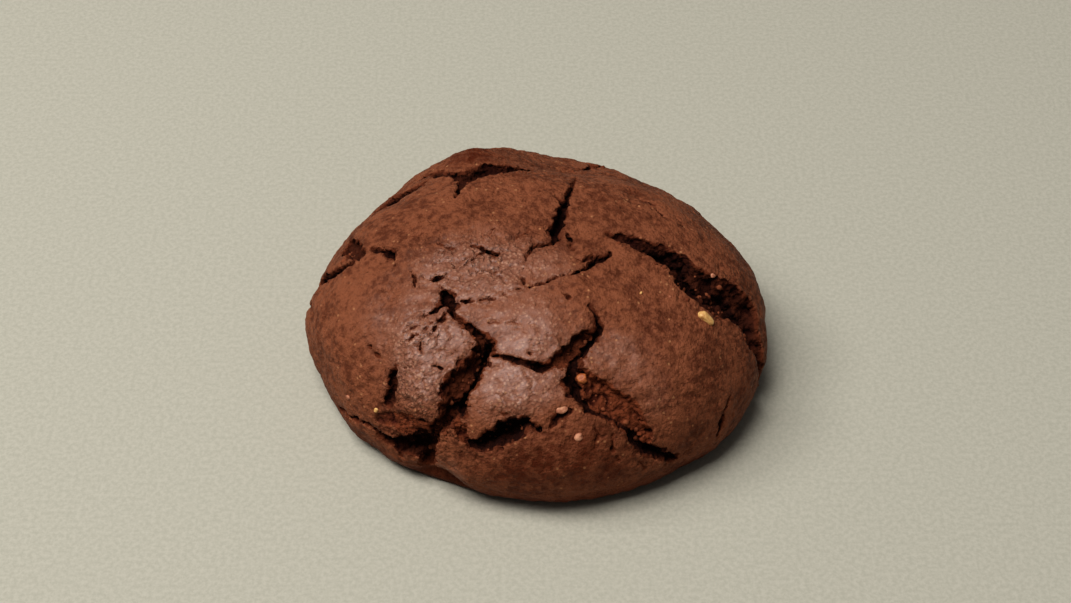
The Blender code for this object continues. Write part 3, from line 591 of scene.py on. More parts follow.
@dataclass(frozen=True)
class Cracking:
    """How cracks are cut into the crust.

    Sizes are in millimetres, and shares are of a crack's width or depth. A shelf is a shallow step
    along a crack, the roll is the sinking of the plates towards it, and the lip is their edge.
    """

    wanders: tuple[tuple[float, float], ...] = ((3.2, 0.4), (1.2, 0.35), (0.55, 0.16))
    ragged_size: float = 2.2
    ragged_share: float = 0.3
    fine_ragged_size: float = 0.8
    fine_ragged_share: float = 0.22
    slimming: float = 0.04
    least_half: float = 0.19
    widest_ragged: float = 1.1
    wall_share: float = 0.18
    thinnest_wall: float = 0.2
    bowl_share: float = 0.35
    shelf_size: float = 1.9
    shelf_reach: float = 1.0
    shelf_depth: float = 0.45
    shelf_bias: float = 0.2
    shelf_edge: float = 0.3
    shelf_start: float = 0.3
    shelf_crack_depth: float = 2.0
    roll_share: float = 0.09
    roll_reach: float = 1.3
    lip_reach: float = 1.6
    lip_crack_depth: float = 1.5
    margin: float = 9.0
    # The painted shade of the crumb in a crack that isn't listed.
    usual_crack_shade: float = 0.9

    def along(self, dome: Dome, points: Array, route: Sequence[Stop]) -> tuple[Array, Array, Array]:
        """The distance of each point to a route over the dome, and the crack's width and depth there."""
        stops = np.array(route)
        places = dome.point(stops[:, 0], stops[:, 1])
        nearest = np.full(len(points), np.inf)
        width = np.zeros(len(points))
        depth = np.zeros(len(points))
        for first, second, start, end in zip(places[:-1], places[1:], stops[:-1], stops[1:]):
            leg = second - first
            share = np.clip((points - first) @ leg / (leg @ leg), 0.0, 1.0)
            distance = np.linalg.norm(points - first - share[:, None] * leg, axis=1)
            closer = distance < nearest
            nearest = np.where(closer, distance, nearest)
            width = np.where(closer, start[2] + share * (end[2] - start[2]), width)
            depth = np.where(closer, start[3] + share * (end[3] - start[3]), depth)
        return nearest, width, depth

    def cut(self, dome: Dome, body: Array, cracks: Mapping[str, Sequence[Stop]]) -> dict[str, Array]:
        """How deep the crust is cut at each point.

        Args:
            dome: The smooth body.
            body: Places on the smooth body, in millimetres.
            cracks: The routes to cut.

        Returns:
            For each point the depth of the cut, how much painted shade its crumb takes, how far the plates
            roll down towards a lip, and how near a lip is (0 to 1).
        """
        points = body + sum(wander(body, size, reach) for size, reach in self.wanders)
        ragged = self.ragged_share * grain(points, self.ragged_size)
        ragged += self.fine_ragged_share * grain(points, self.fine_ragged_size, side=Side.CRUMB)
        shelf = np.clip(grain(body, self.shelf_size, side=Side.SHELF) + self.shelf_bias, 0.0, 1.0)
        shelf *= self.shelf_reach
        found = {name: np.zeros(len(points)) for name in ("cut", "dark", "roll", "lip")}
        for crack, route in cracks.items():
            crack_shade = PAINTED_CRACK_SHADE.get(crack, self.usual_crack_shade)
            stops = np.array(route)
            places = dome.point(stops[:, 0], stops[:, 1])
            low, high = places.min(axis=0) - self.margin, places.max(axis=0) + self.margin
            near = np.nonzero(((points > low) & (points < high)).all(axis=1))[0]
            distance, width, depth = self.along(dome, points[near], route)
            jagged = ragged[near] * np.minimum(width / 2, self.widest_ragged)
            half = np.maximum(width / 2 - self.slimming + jagged, self.least_half)
            wall = np.maximum(width * self.wall_share, self.thinnest_wall)
            inside = edge_step(half - distance, wall)
            bowl = np.sqrt(np.maximum(1.0 - (distance / half) ** 2, 0.0))
            deep = depth * inside * (1.0 - self.bowl_share * (1.0 - bowl))
            stepped = np.clip(depth / self.shelf_crack_depth - self.shelf_start, 0.0, 1.0)
            on_shelf = edge_step(half + shelf[near] * stepped - distance, self.shelf_edge)
            here = np.maximum(deep, np.minimum(self.shelf_depth, depth) * on_shelf)
            # The deepest crack at a point gives its crumb's painted shade.
            deeper = here > found["cut"][near]
            found["dark"][near] = np.where(deeper, crack_shade, found["dark"][near])
            out = np.maximum(distance - half, 0.0)
            roll = depth * self.roll_share * np.exp(-out / self.roll_reach)
            lip = np.clip(depth / self.lip_crack_depth, 0.0, 1.0) * np.exp(-out / self.lip_reach)
            for name, value in (("cut", here), ("roll", roll), ("lip", lip)):
                found[name][near] = np.maximum(found[name][near], value)
        return found


class Signal:
    """One output socket of a shader tree that takes part in Python arithmetic."""

    def __init__(self, graph: "Graph", socket: bpy.types.NodeSocket) -> None:
        self.graph = graph
        self.socket = socket

    def _maths(self, operation: str, first: Any, second: Any = 0.0) -> "Signal":
        """A Math node on two values."""
        return self.graph.node("ShaderNodeMath", {"operation": operation}, {0: first, 1: second})

    def __add__(self, other: Any) -> "Signal":
        """self + other."""
        return self._maths("ADD", self, other)

    def __sub__(self, other: Any) -> "Signal":
        """self - other."""
        return self._maths("SUBTRACT", self, other)

    def __rsub__(self, other: Any) -> "Signal":
        """other - self."""
        return self._maths("SUBTRACT", other, self)

    def __mul__(self, other: Any) -> "Signal":
        """self * other."""
        return self._maths("MULTIPLY", self, other)

    def least(self, other: Any) -> "Signal":
        """The smaller of self and other."""
        return self._maths("MINIMUM", self, other)

    def span(self, low: float, high: float, bottom: float = 0.0, top: float = 1.0) -> "Signal":
        """self eased from low..high onto bottom..top, and held outside."""
        settings = {"interpolation_type": "SMOOTHSTEP"}
        sockets = {0: self, 1: low, 2: high, 3: bottom, 4: top}
        return self.graph.node("ShaderNodeMapRange", settings, sockets)


class Graph:
    """A material's node tree, built with expressions."""

    def __init__(self, name: str) -> None:
        self.material = bpy.data.materials.new(name)
        self.material.use_nodes = True
        self.tree = self.material.node_tree
        self.shader = self.tree.nodes["Principled BSDF"]

    def node(
        self,
        kind: str,
        settings: Mapping[str, Any] | None = None,
        sockets: Mapping[str | int, Any] | None = None,
        output: str | int = 0,
    ) -> Signal:
        """Adds a node.

        Args:
            kind: The node's type.
            settings: Its properties, set first.
            sockets: A value or a Signal for each named or numbered input.
            output: Which output the result stands for.

        Returns:
            The chosen output.
        """
        made = self.tree.nodes.new(kind)
        for name, value in (settings or {}).items():
            setattr(made, name, value)
        for name, value in (sockets or {}).items():
            self.feed(made.inputs[name], value)
        return Signal(self, made.outputs[output])

    def feed(self, socket: bpy.types.NodeSocket, value: Any) -> None:
        """Links a Signal to a socket, or sets its value."""
        if isinstance(value, Signal):
            self.tree.links.new(value.socket, socket)
        else:
            socket.default_value = value

    def mix(self, share: Any, first: Any, second: Any) -> Signal:
        """A colour between two colours."""
        sockets = {0: share, 6: first, 7: second}
        return self.node("ShaderNodeMix", {"data_type": "RGBA"}, sockets, output=2)

    def vector(self, operation: str, first: Any, second: Any = None, scale: float = 1.0) -> Signal:
        """A Vector Math node."""
        sockets = {0: first, "Scale": scale} if second is None else {0: first, 1: second}
        return self.node("ShaderNodeVectorMath", {"operation": operation}, sockets)

    def places(self) -> Signal:
        """The object's own coordinates, in millimetres."""
        return self.vector("SCALE", self.node("ShaderNodeTexCoord", output="Object"), scale=1.0 / MM)

    def swirled(self, where: Signal, size: float, reach: float) -> Signal:
        """Places pushed about by smooth noise whose swirls have the given size."""
        sockets = {"Vector": where, "Scale": 1.0 / size, "Detail": 2.0}
        push = self.node("ShaderNodeTexNoise", {}, sockets, "Color")
        centred = self.vector("SUBTRACT", push, (0.5, 0.5, 0.5))
        return self.vector("ADD", where, self.vector("SCALE", centred, scale=2.0 * reach))

    def attribute(self, name: str) -> Signal:
        """A number kept on the mesh's points."""
        return self.node("ShaderNodeAttribute", {"attribute_name": name}, output="Fac")

    def noise(self, where: Signal, size: float, detail: float = 2.0, rough: float = 0.5) -> Signal:
        """Smooth noise from 0 to 1 whose lumps have the given size in millimetres."""
        sockets = {"Vector": where, "Scale": 1.0 / size, "Detail": detail, "Roughness": rough}
        return self.node("ShaderNodeTexNoise", {}, sockets)

    def seeds(self, where: Signal, size: float, feature: str = "F1") -> Signal:
        """Distance to scattered seeds, or to the walls between them, at a spacing in millimetres."""
        sockets = {"Vector": where, "Scale": 1.0 / size}
        return self.node("ShaderNodeTexVoronoi", {"feature": feature}, sockets)

    def surface(self, **sockets: Any) -> None:
        """Feeds the shader's sockets, named with _ for a space."""
        for name, value in sockets.items():
            self.feed(self.shader.inputs[name.replace("_", " ")], value)

    def bump(self, height: Signal, distance: float) -> Signal:
        """A normal bent by a height, whose step of one is the given distance in millimetres."""
        return self.node("ShaderNodeBump", {}, {"Distance": distance * MM, "Height": height})


@dataclass(frozen=True)
class CrustFinish:
    """Dry cocoa crust, its grey bloom (partly painted sheen), the redder crumb that shows in the cracks,
    and painted shade.

    Sizes are in millimetres: of the lumps of each noise, and of the spaces between flakes, specks and
    crackle lines. A band is the height over the table across which a colour of the foot fades; the low
    shade band paints shade on the lower crust.
    """

    plate: Colour = srgb(140, 84, 57)
    plate_deep: Colour = srgb(99, 53, 33)
    # Grey bloom, lightened in part as painted sheen on the middle plates.
    bloom: Colour = srgb(148, 96, 73)
    bloom_pale: Colour = srgb(206, 157, 129)
    crumb: Colour = srgb(128, 68, 42)
    # Crumb colour in the dips between crumbs: painted shade in the pores.
    crumb_pore_shade: Colour = srgb(70, 28, 16)
    # The near-black painted shade deep in the cracks.
    hollow_shade: Colour = srgb(34, 10, 6)
    # Painted shade for the lower crust and the minus bloom patches, which face away from the lights.
    low: Colour = srgb(88, 34, 10)
    speck: Colour = srgb(196, 140, 98)
    # Painted shade for the crackle lines and the fine dents.
    crevice_shade: Colour = srgb(78, 34, 19)
    under: Colour = srgb(72, 36, 22)
    roughness: float = 0.58
    crumb_roughness: float = 0.9
    shine: float = 0.12
    sheen_roughness: float = 0.46
    broad_size: float = 6.0
    mottle_size: float = 1.5
    fleck_size: float = 0.8
    fine_size: float = 0.42
    flake_size: float = 0.62
    speck_spacing: float = 1.25
    speck_patch_size: float = 3.1
    large_crackle: float = 2.3
    small_crackle: float = 1.1
    low_shade_band: tuple[float, float] = (1.0, 6.5)
    under_band: tuple[float, float] = (0.3, 2.0)
    band_share: float = 0.75
    relief_height: float = 0.6

    def material(self) -> bpy.types.Material:
        """Builds the crust's material.

        Returns:
            A material that reads the mesh's "cut", "dark", "bloom", "craze" and "crumb" numbers; "dark"
            and a "bloom" below zero are painted shade.
        """
        graph = Graph("cocoa_crust")
        where = graph.places()
        cut = graph.attribute("cut")
        craze = graph.attribute("craze")
        mottle = graph.noise(where, self.mottle_size, 4.0, 0.6)
        fine = graph.noise(where, self.fine_size, 3.0, 0.65)
        flakes = graph.seeds(where, self.flake_size)
        colour = self._plate(graph, where, mottle, flakes)
        crackle = self._crackle(graph, where)
        lines = crackle * craze.span(0.02, 0.7)
        # Painted shade in the crackle lines and in the dents of the fine bumps.
        dents = (1.0 - fine.span(0.3, 0.42)) * mottle.span(0.35, 0.6, 0.2, 0.8)
        colour = graph.mix((lines * 0.3 + dents * 0.6).least(1.0), colour, self.crevice_shade)
        # Painted shade in the pores: mostly by crumb bump height, partly by random mottle.
        crumbly = graph.attribute("crumb") * 0.6 + mottle * 0.4
        crumb = graph.mix(crumbly.span(0.2, 0.72), self.crumb_pore_shade, self.crumb)
        # Painted shade: deep in a crack, the crumb goes towards the near-black hollow colour.
        shade = graph.attribute("dark") * (mottle * 0.7 + 0.68) * cut.span(0.2, 1.1, 0.35, 1.0)
        crumb = graph.mix(shade.least(1.0), crumb, self.hollow_shade)
        colour = graph.mix(cut.span(0.14, 0.36), colour, crumb)
        height = graph.node("ShaderNodeSeparateXYZ", {}, {0: where}, "Z")
        # Painted shade: darker towards the bottom, across the low shade band.
        colour = graph.mix(height.span(*self.low_shade_band, self.band_share, 0.0), colour, self.low)
        colour = graph.mix(height.span(*self.under_band, self.band_share, 0.0), colour, self.under)
        relief = fine * 0.5 + mottle * 0.8 - lines * 0.35 - flakes * (craze * 0.7 + 0.15)
        rough = cut.span(0.1, 0.6, self.roughness, self.crumb_roughness)
        smooth = cut.span(0.1, 0.4, 1.0, 0.0) * (1.0 - lines)
        sheen = graph.attribute("bloom").span(0.0, 1.0) * smooth * mottle.span(0.3, 0.6, 0.45, 0.9)
        bumped = graph.bump(relief, self.relief_height)
        graph.surface(Base_Color=colour, Roughness=rough, Normal=bumped, Specular_IOR_Level=self.shine)
        graph.surface(Coat_Weight=sheen, Coat_Roughness=self.sheen_roughness)
        return graph.material

    def _plate(self, graph: Graph, where: Signal, mottle: Signal, flakes: Signal) -> Signal:
        """The colour of the plates' skin: mottled brown, painted shade in the minus bloom patches, grey
        where it has bloomed (partly painted sheen), with specks.
        """
        broad = graph.noise(where, self.broad_size, 3.0)
        fleck = graph.noise(where, self.fleck_size, 4.0, 0.7)
        light = (broad * 0.25 + mottle * 0.35 + fleck * 0.4).span(0.4, 0.56)
        tone = graph.mix(light, self.plate_deep, self.plate)
        # Painted shade: below zero the bloom number turns the skin towards the dark low colour.
        baked = graph.attribute("bloom").span(-1.0, 0.0, 1.0, 0.0) * mottle.span(0.36, 0.62, 1.0, 0.45)
        tone = graph.mix(baked, tone, self.low)
        # Grey bloom, partly painted sheen.
        bloom = graph.attribute("bloom").span(0.0, 1.0) * mottle.span(0.32, 0.6, 0.6, 1.0)
        dusty = graph.mix(flakes.span(0.08, 0.5, 0.6, 0.0), self.bloom, self.bloom_pale)
        bloomed = graph.mix(bloom.least(1.0), tone, dusty)
        dots = graph.seeds(where, self.speck_spacing)
        speckled = graph.noise(where, self.speck_patch_size).span(0.48, 0.62)
        pale = (1.0 - dots.span(0.1, 0.22)) * speckled
        return graph.mix(pale * 0.6, bloomed, self.speck)

    def _crackle(self, graph: Graph, where: Signal) -> Signal:
        """Short broken crackle lines, 1 in their middles."""
        swirled = graph.swirled(graph.swirled(where, 2.0, 0.9), 0.6, 0.3)
        large = 1.0 - graph.seeds(swirled, self.large_crackle, "DISTANCE_TO_EDGE").span(0.0, 0.075)
        small = 1.0 - graph.seeds(swirled, self.small_crackle, "DISTANCE_TO_EDGE").span(0.0, 0.09)
        broken = graph.noise(where, 1.7).span(0.45, 0.58)
        other = graph.noise(where, 1.1).span(0.5, 0.62)
        return (large * broken + small * other * 0.7).least(1.0)


@dataclass(frozen=True)
class NutFinish:
    """A roasted nut chip: pale flesh, toasted in patches."""

    pale: Colour
    toasted: Colour
    roughness: float = 0.5

    def material(self, name: str) -> bpy.types.Material:
        """Builds the chip's material under the given name."""
        graph = Graph(name)
        where = graph.places()
        toast = graph.noise(where, 0.9, 3.0)
        fibre = graph.noise(where, 0.25, 2.0)
        colour = graph.mix(toast.span(0.36, 0.62), self.toasted, self.pale)
        graph.surface(Base_Color=colour, Roughness=self.roughness, Normal=graph.bump(fibre, 0.08))
        return graph.material


@dataclass(frozen=True)
class CrumbFinish:
    """Loose cocoa crumbs, each a little lighter or darker than the next."""

    dark: Colour = srgb(84, 40, 25)
    light: Colour = srgb(146, 86, 58)
    roughness: float = 0.92
    shine: float = 0.1

    def material(self) -> bpy.types.Material:
        """Builds the crumbs' material, which reads each crumb's "tone"."""
        graph = Graph("loose_crumb")
        where = graph.places()
        mottle = graph.noise(where, 0.6, 3.0)
        tone = graph.attribute("tone") * 0.7 + mottle * 0.3
        colour = graph.mix(tone, self.dark, self.light)
        graph.surface(Base_Color=colour, Roughness=self.roughness, Normal=graph.bump(mottle, 0.15))
        graph.surface(Specular_IOR_Level=self.shine)
        return graph.material


@dataclass(frozen=True)
class TableFinish:
    """Plain pale tabletop."""

    colour: Colour = srgb(188, 183, 167)
    shade: Colour = srgb(175, 171, 155)
    roughness: float = 0.8

    def material(self) -> bpy.types.Material:
        """Builds the tabletop's material."""
        graph = Graph("pale_table")
        fleck = graph.noise(graph.places(), 0.7, 3.0, 0.7).span(0.3, 0.7)
        graph.surface(Base_Color=graph.mix(fleck, self.shade, self.colour), Roughness=self.roughness)
        return graph.material


@dataclass
class Marks:
    """What is known of each point of the shaped crust, found again on a later mesh by nearness."""

    points: Array
    values: dict[str, Array]

    def __post_init__(self) -> None:
        """Sorts the points for the search."""
        self.tree = kdtree.KDTree(len(self.points))
        for index, point in enumerate(self.points):
            self.tree.insert(Vector(point), index)
        self.tree.balance()

    def nearest(self, points: Array) -> Array:
        """The index of the shaped crust's point nearest to each of these."""
        return np.array([self.tree.find(Vector(point))[1] for point in points])


@dataclass
class CookieCrust:
    """The whole baked crust as one fine mesh, in place of the solid model's cookie.

    Sizes, reaches and heights are in millimetres. Crumb sets in over the crumb_fade below the depth
    crumb_cut, and all fine relief ends over the foot_fade above the foot_clear height.
    """

    dome: Dome = field(default_factory=Dome)
    cracking: Cracking = field(default_factory=Cracking)
    finish: CrustFinish = field(default_factory=CrustFinish)
    ball_level: int = 9
    lump_size: float = 9.0
    lump_height: float = 0.35
    ripple_size: float = 3.0
    ripple_height: float = 0.16
    ground_fade: float = 2.5
    voxel: float = 0.15
    most_triangles: int = 190_000
    crumb_sizes: tuple[tuple[float, float], ...] = ((1.8, 0.6), (0.8, 0.3))
    crumb_shares: tuple[float, ...] = (0.6, 0.4)
    crumb_wanders: tuple[tuple[float, float], ...] = ((1.3, 0.5), (0.5, 0.25))
    crumb_cut: float = 0.15
    crumb_fade: float = 0.5
    foot_clear: float = 0.3
    foot_fade: float = 1.2
    grain_sizes: tuple[tuple[float, float], ...] = ((2.4, 0.12), (1.1, 0.09), (0.6, 0.05))
    bloom_patch_size: float = 3.5
    bloom_patchiness: float = 0.5
    lip_craze: float = 0.3
    least_craze: float = 0.05
    craze_wanders: tuple[tuple[float, float, Side], ...] = ((1.8, 0.8, Side.CRAZE), (0.7, 0.3, Side.SHELF))
    craze_size: float = 2.0
    craze_width: float = 0.22
    craze_depth: float = 0.16
    craze_patch_size: float = 1.8
    craze_patchiness: float = 0.9
    craze_bias: float = -0.1
    thinnest_craze: float = 0.05
    pebble_size: float = 1.2
    pebble_height: float = 0.2

    def build(self) -> bpy.types.Object:
        """Builds and dresses the crust.

        Returns:
            The finished piece, standing where the solid cookie stands.
        """
        mesh = self._ball()
        marks = self._shape(mesh)
        crust = bpy.data.objects.new("crust", mesh)
        bpy.context.scene.collection.objects.link(crust)
        self._rework(crust, "REMESH", mode="VOXEL", voxel_size=self.voxel * MM)
        rough = self._crumble(crust.data, marks)
        ratio = self.most_triangles / (2.0 * len(crust.data.polygons))
        self._rework(crust, "DECIMATE", ratio=min(1.0, ratio))
        self._mark(crust.data, rough)
        self._stand(crust)
        crust.data.shade_smooth()
        crust.data.materials.clear()
        crust.data.materials.append(self.finish.material())
        return crust

    def _ball(self) -> bpy.types.Mesh:
        """An even ball of triangles."""
        ball = bmesh.new()
        bmesh.ops.create_icosphere(ball, subdivisions=self.ball_level, radius=1.0)
        mesh = bpy.data.meshes.new("crust")
        ball.to_mesh(mesh)
        ball.free()
        return mesh

    def _shape(self, mesh: bpy.types.Mesh) -> Marks:
        """Moves the ball's points onto the cookie, and keeps what each point is for the later steps."""
        ball = read_points(mesh)
        ball /= np.linalg.norm(ball, axis=1, keepdims=True)
        polar = np.arccos(np.clip(ball[:, 2], -1.0, 1.0))
        angle = np.arctan2(ball[:, 1], ball[:, 0])
        crust_angle = math.radians(self.dome.crust_angle)
        walk = self.dome.ground_walk * np.minimum(polar / crust_angle, 1.0)
        u, v = walk * np.cos(angle), walk * np.sin(angle)
        body = self.dome.point(u, v)
        cracked = self.cracking.cut(self.dome, body, {**CRACKS, **WRINKLES})
        relief = self.dome.patches(body, SWELLS) + self.lump_height * grain(body, self.lump_size)
        relief += self.ripple_height * grain(body, self.ripple_size, side=Side.BLOOM)
        relief -= np.maximum(cracked["cut"], cracked["roll"])
        fade = smooth_step(body[:, 2] / self.ground_fade)
        shaped = body + (relief * fade)[:, None] * self.dome.normal(u, v)
        shaped[:, 2] = np.maximum(shaped[:, 2], 0.0)
        under = polar > crust_angle
        inward = (math.pi - polar[under]) / (math.pi - crust_angle)
        shaped[under, :2] = body[under, :2] * inward[:, None]
        shaped[under, 2] = 0.0
        write_points(mesh, shaped * MM)
        patchy = 1.0 + self.bloom_patchiness * grain(body, self.bloom_patch_size, side=Side.BLOOM)
        craze = self.dome.patches(body, CRAZES) + self.lip_craze * cracked["lip"]
        known = {
            "cut": cracked["cut"] * fade,
            # How much painted shade the crack's crumb takes.
            "dark": cracked["dark"],
            # Grey bloom, partly painted sheen, and below zero painted shade.
            "bloom": np.clip(self.dome.patches(body, BLOOM_SHEEN_AND_SHADE) * patchy, -1.0, 1.0),
            "craze": np.clip(craze, 0.0, 1.0),
        }
        return Marks(shaped, known)

    @staticmethod
    def _rework(thing: bpy.types.Object, kind: str, **settings: Any) -> None:
        """Adds a modifier with the given settings and keeps its result as the mesh."""
        modifier = thing.modifiers.new(kind.lower(), kind)
        for name, value in settings.items():
            setattr(modifier, name, value)
        graph = bpy.context.evaluated_depsgraph_get()
        made = bpy.data.meshes.new_from_object(thing.evaluated_get(graph))
        thing.modifiers.clear()
        old = thing.data
        thing.data = made
        bpy.data.meshes.remove(old)
        made.name = thing.name

    def _crumble(self, mesh: bpy.types.Mesh, marks: Marks) -> Marks:
        """Roughens the cracks' walls and floors into crumbs, grains the plates and crazes the middle.

        Args:
            mesh: The remeshed crust, in metres.
            marks: What was known of the shaped crust.

        Returns:
            The marks of the roughened crust.
        """
        points = read_points(mesh) / MM
        found = marks.nearest(points)
        values = {name: known[found] for name, known in marks.values.items()}
        inside = smooth_step((values["cut"] - self.crumb_cut) / self.crumb_fade)
        swirled = points + sum(wander(points, size, reach) for size, reach in self.crumb_wanders)
        bumps = [pebbles(swirled, size, Side.CRUMB) for size, _ in self.crumb_sizes]
        heights = [height for _, height in self.crumb_sizes]
        crumb = sum(height * (bump - PEBBLE_LEVEL) for bump, height in zip(bumps, heights))
        skin = sum(height * grain(points, size, 2, Side.CRAZE) for size, height in self.grain_sizes)
        skin += self._craze(points, values["craze"])
        lift = inside * crumb + (1.0 - inside) * skin
        lift *= smooth_step((points[:, 2] - self.foot_clear) / self.foot_fade)
        rough = points + lift[:, None] * read_normals(mesh)
        write_points(mesh, rough * MM)
        values["crumb"] = sum(bump * share for bump, share in zip(bumps, self.crumb_shares))
        return Marks(rough, values)

    def _craze(self, points: Array, craze: Array) -> Array:
        """Broken crackle and pebbles where the crust is crazed, as a height at each point."""
        lift = np.zeros(len(points))
        there = np.nonzero(craze > self.least_craze)[0]
        spots, strength = points[there], craze[there]
        swirled = spots
        for size, reach, side in self.craze_wanders:
            swirled = swirled + wander(spots, size, reach, side)
        near, second = cells(swirled, self.craze_size, Side.CRAZE)
        edge = (second - near) * self.craze_size / 2
        patchy = self.craze_patchiness * grain(spots, self.craze_patch_size, side=Side.SHELF)
        width = self.craze_width * (strength + patchy + self.craze_bias)
        line = smooth_step(1.0 - edge / np.maximum(width, self.thinnest_craze))
        line = np.where(width > self.thinnest_craze, line, 0.0)
        pebble = pebbles(swirled, self.pebble_size, Side.BLOOM) - PEBBLE_LEVEL
        lift[there] = self.pebble_height * strength * pebble - self.craze_depth * line
        return lift

    @staticmethod
    def _mark(mesh: bpy.types.Mesh, marks: Marks) -> None:
        """Keeps the marks as numbers on the mesh's points, for the material."""
        found = marks.nearest(read_points(mesh) / MM)
        for name, values in marks.values.items():
            keep_number(mesh, name, values[found])

    @staticmethod
    def _stand(crust: bpy.types.Object) -> None:
        """Puts the crust where the solid cookie stands."""
        low, high = (np.array(corner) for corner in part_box("cookie"))
        points = read_points(crust.data)
        middle = (points[:, :2].min(axis=0) + points[:, :2].max(axis=0)) / 2
        points[:, :2] += (low[:2] + high[:2]) / 2 - middle
        points[:, 2] += low[2] - points[:, 2].min()
        write_points(crust.data, points)


@dataclass(frozen=True)
class Chip:
    """One chip seated in the crust. The place is on the peeled crust, sizes are in millimetres.

    The turn is in degrees from the level direction, sunk is how far its middle lies below the surface.
    """

    u: float
    v: float
    length: float
    width: float
    thickness: float
    turn: float = 0.0
    sunk: float = 0.0
    taper: float = 0.0


@dataclass
class Scatter:
    """Small broken lumps: rounded blobs with flat cut faces and a rough skin.

    Each face is cut off at the facet_depth from the middle, times a draw from the facet_spread.
    """

    seed: int
    level: int = 3
    facets: int = 5
    facet_depth: float = 0.82
    facet_spread: tuple[float, float] = (0.75, 1.1)
    roughness: float = 0.1
    rough_size: float = 0.7
    rough_layers: int = 3
    farthest_shift: float = 90.0

    def __post_init__(self) -> None:
        """Starts the lumps' own draw of random numbers."""
        self.draw = random.Random(self.seed)

    def blob(self) -> tuple[Array, Array]:
        """One lump of about unit radius.

        Returns:
            Its points and its triangles.
        """
        ball = bmesh.new()
        bmesh.ops.create_icosphere(ball, subdivisions=self.level, radius=1.0)
        points = np.array([vertex.co for vertex in ball.verts])
        faces = np.array([[vertex.index for vertex in face.verts] for face in ball.faces])
        ball.free()
        for _ in range(self.facets):
            side = np.array(Vector([self.draw.gauss(0.0, 1.0) for _ in range(3)]).normalized())
            face = self.facet_depth * self.draw.uniform(*self.facet_spread)
            points -= np.maximum(points @ side - face, 0.0)[:, None] * side
        shift = np.array([self.draw.uniform(0.0, self.farthest_shift) for _ in range(3)])
        rough = grain(points + shift, self.rough_size, self.rough_layers)
        points *= (1.0 + self.roughness * rough)[:, None]
        return points, faces


def join(name: str, parts: Sequence[tuple[Array, Array]], tones: Sequence[float]) -> bpy.types.Object:
    """One mesh from many lumps.

    Args:
        name: The piece's name.
        parts: Each lump's points, in metres, and triangles.
        tones: A number for each lump, kept on its points as "tone".

    Returns:
        The new object.
    """
    points, faces, tone, start = [], [], [], 0
    for (places, triangles), shade in zip(parts, tones):
        points.append(places)
        faces.append(triangles + start)
        tone.append(np.full(len(places), shade))
        start += len(places)
    mesh = bpy.data.meshes.new(name)
    mesh.from_pydata(np.concatenate(points).tolist(), [], np.concatenate(faces).tolist())
    keep_number(mesh, "tone", np.concatenate(tone))
    mesh.shade_smooth()
    made = bpy.data.objects.new(name, mesh)
    bpy.context.scene.collection.objects.link(made)
    return made


@dataclass
class Seat:
    """Finds the finished crust's surface above a place of the peeled crust."""

    crust: bpy.types.Object
    dome: Dome
    start: float = 6.0

    def __post_init__(self) -> None:
        """Sorts the crust's triangles for the search."""
        points = [tuple(vertex.co) for vertex in self.crust.data.vertices]
        faces = [tuple(face.vertices) for face in self.crust.data.polygons]
        self.tree = bvhtree.BVHTree.FromPolygons(points, faces)

    def find(self, u: float, v: float) -> tuple[Vector, Vector]:
        """The crust's surface at a place of the peeled crust.

        Args:
            u: How far right of the crown, in millimetres.
            v: How far behind the crown, in millimetres.

        Returns:
            The place, in metres, and the dome's outward direction there.
        """
        place, outward = self.dome.place(u, v)
        origin = Vector((place + self.start * outward) * MM)
        hit, _, _, _ = self.tree.ray_cast(origin, -Vector(outward))
        return (hit if hit is not None else Vector(place * MM)), Vector(outward)


def seated(points: Array, chip: Chip, place: Vector, outward: Vector) -> Array:
    """A unit lump sized, turned and set into the crust.

    Args:
        points: The lump's points.
        chip: Its sizes and turn.
        place: Where it sits, in metres.
        outward: The crust's outward direction there.

    Returns:
        Its points in metres.
    """
    level = outward.cross(Vector((0.0, 0.0, 1.0))).normalized() * -1.0
    turned = Matrix.Rotation(math.radians(chip.turn), 3, outward)
    long_way = turned @ level
    short_way = outward.cross(long_way)
    sized = points * np.array([chip.length, chip.width, chip.thickness]) / 2
    sized[:, 1:] *= (1.0 - chip.taper * points[:, 0])[:, None]
    axes = np.array([long_way, short_way, outward])
    return (sized @ axes - chip.sunk * np.array(outward)) * MM + np.array(place)


@dataclass
class Bits:
    """Chips of one kind, joined into one piece."""

    name: str
    chips: Sequence[Chip]
    scatter: Scatter

    def build(self, seat: Seat) -> bpy.types.Object:
        """Seats every chip on the crust."""
        parts, tones = [], []
        for chip in self.chips:
            points, faces = self.scatter.blob()
            place, outward = seat.find(chip.u, chip.v)
            parts.append((seated(points, chip, place, outward), faces))
            tones.append(self.scatter.draw.random())
        return join(self.name, parts, tones)


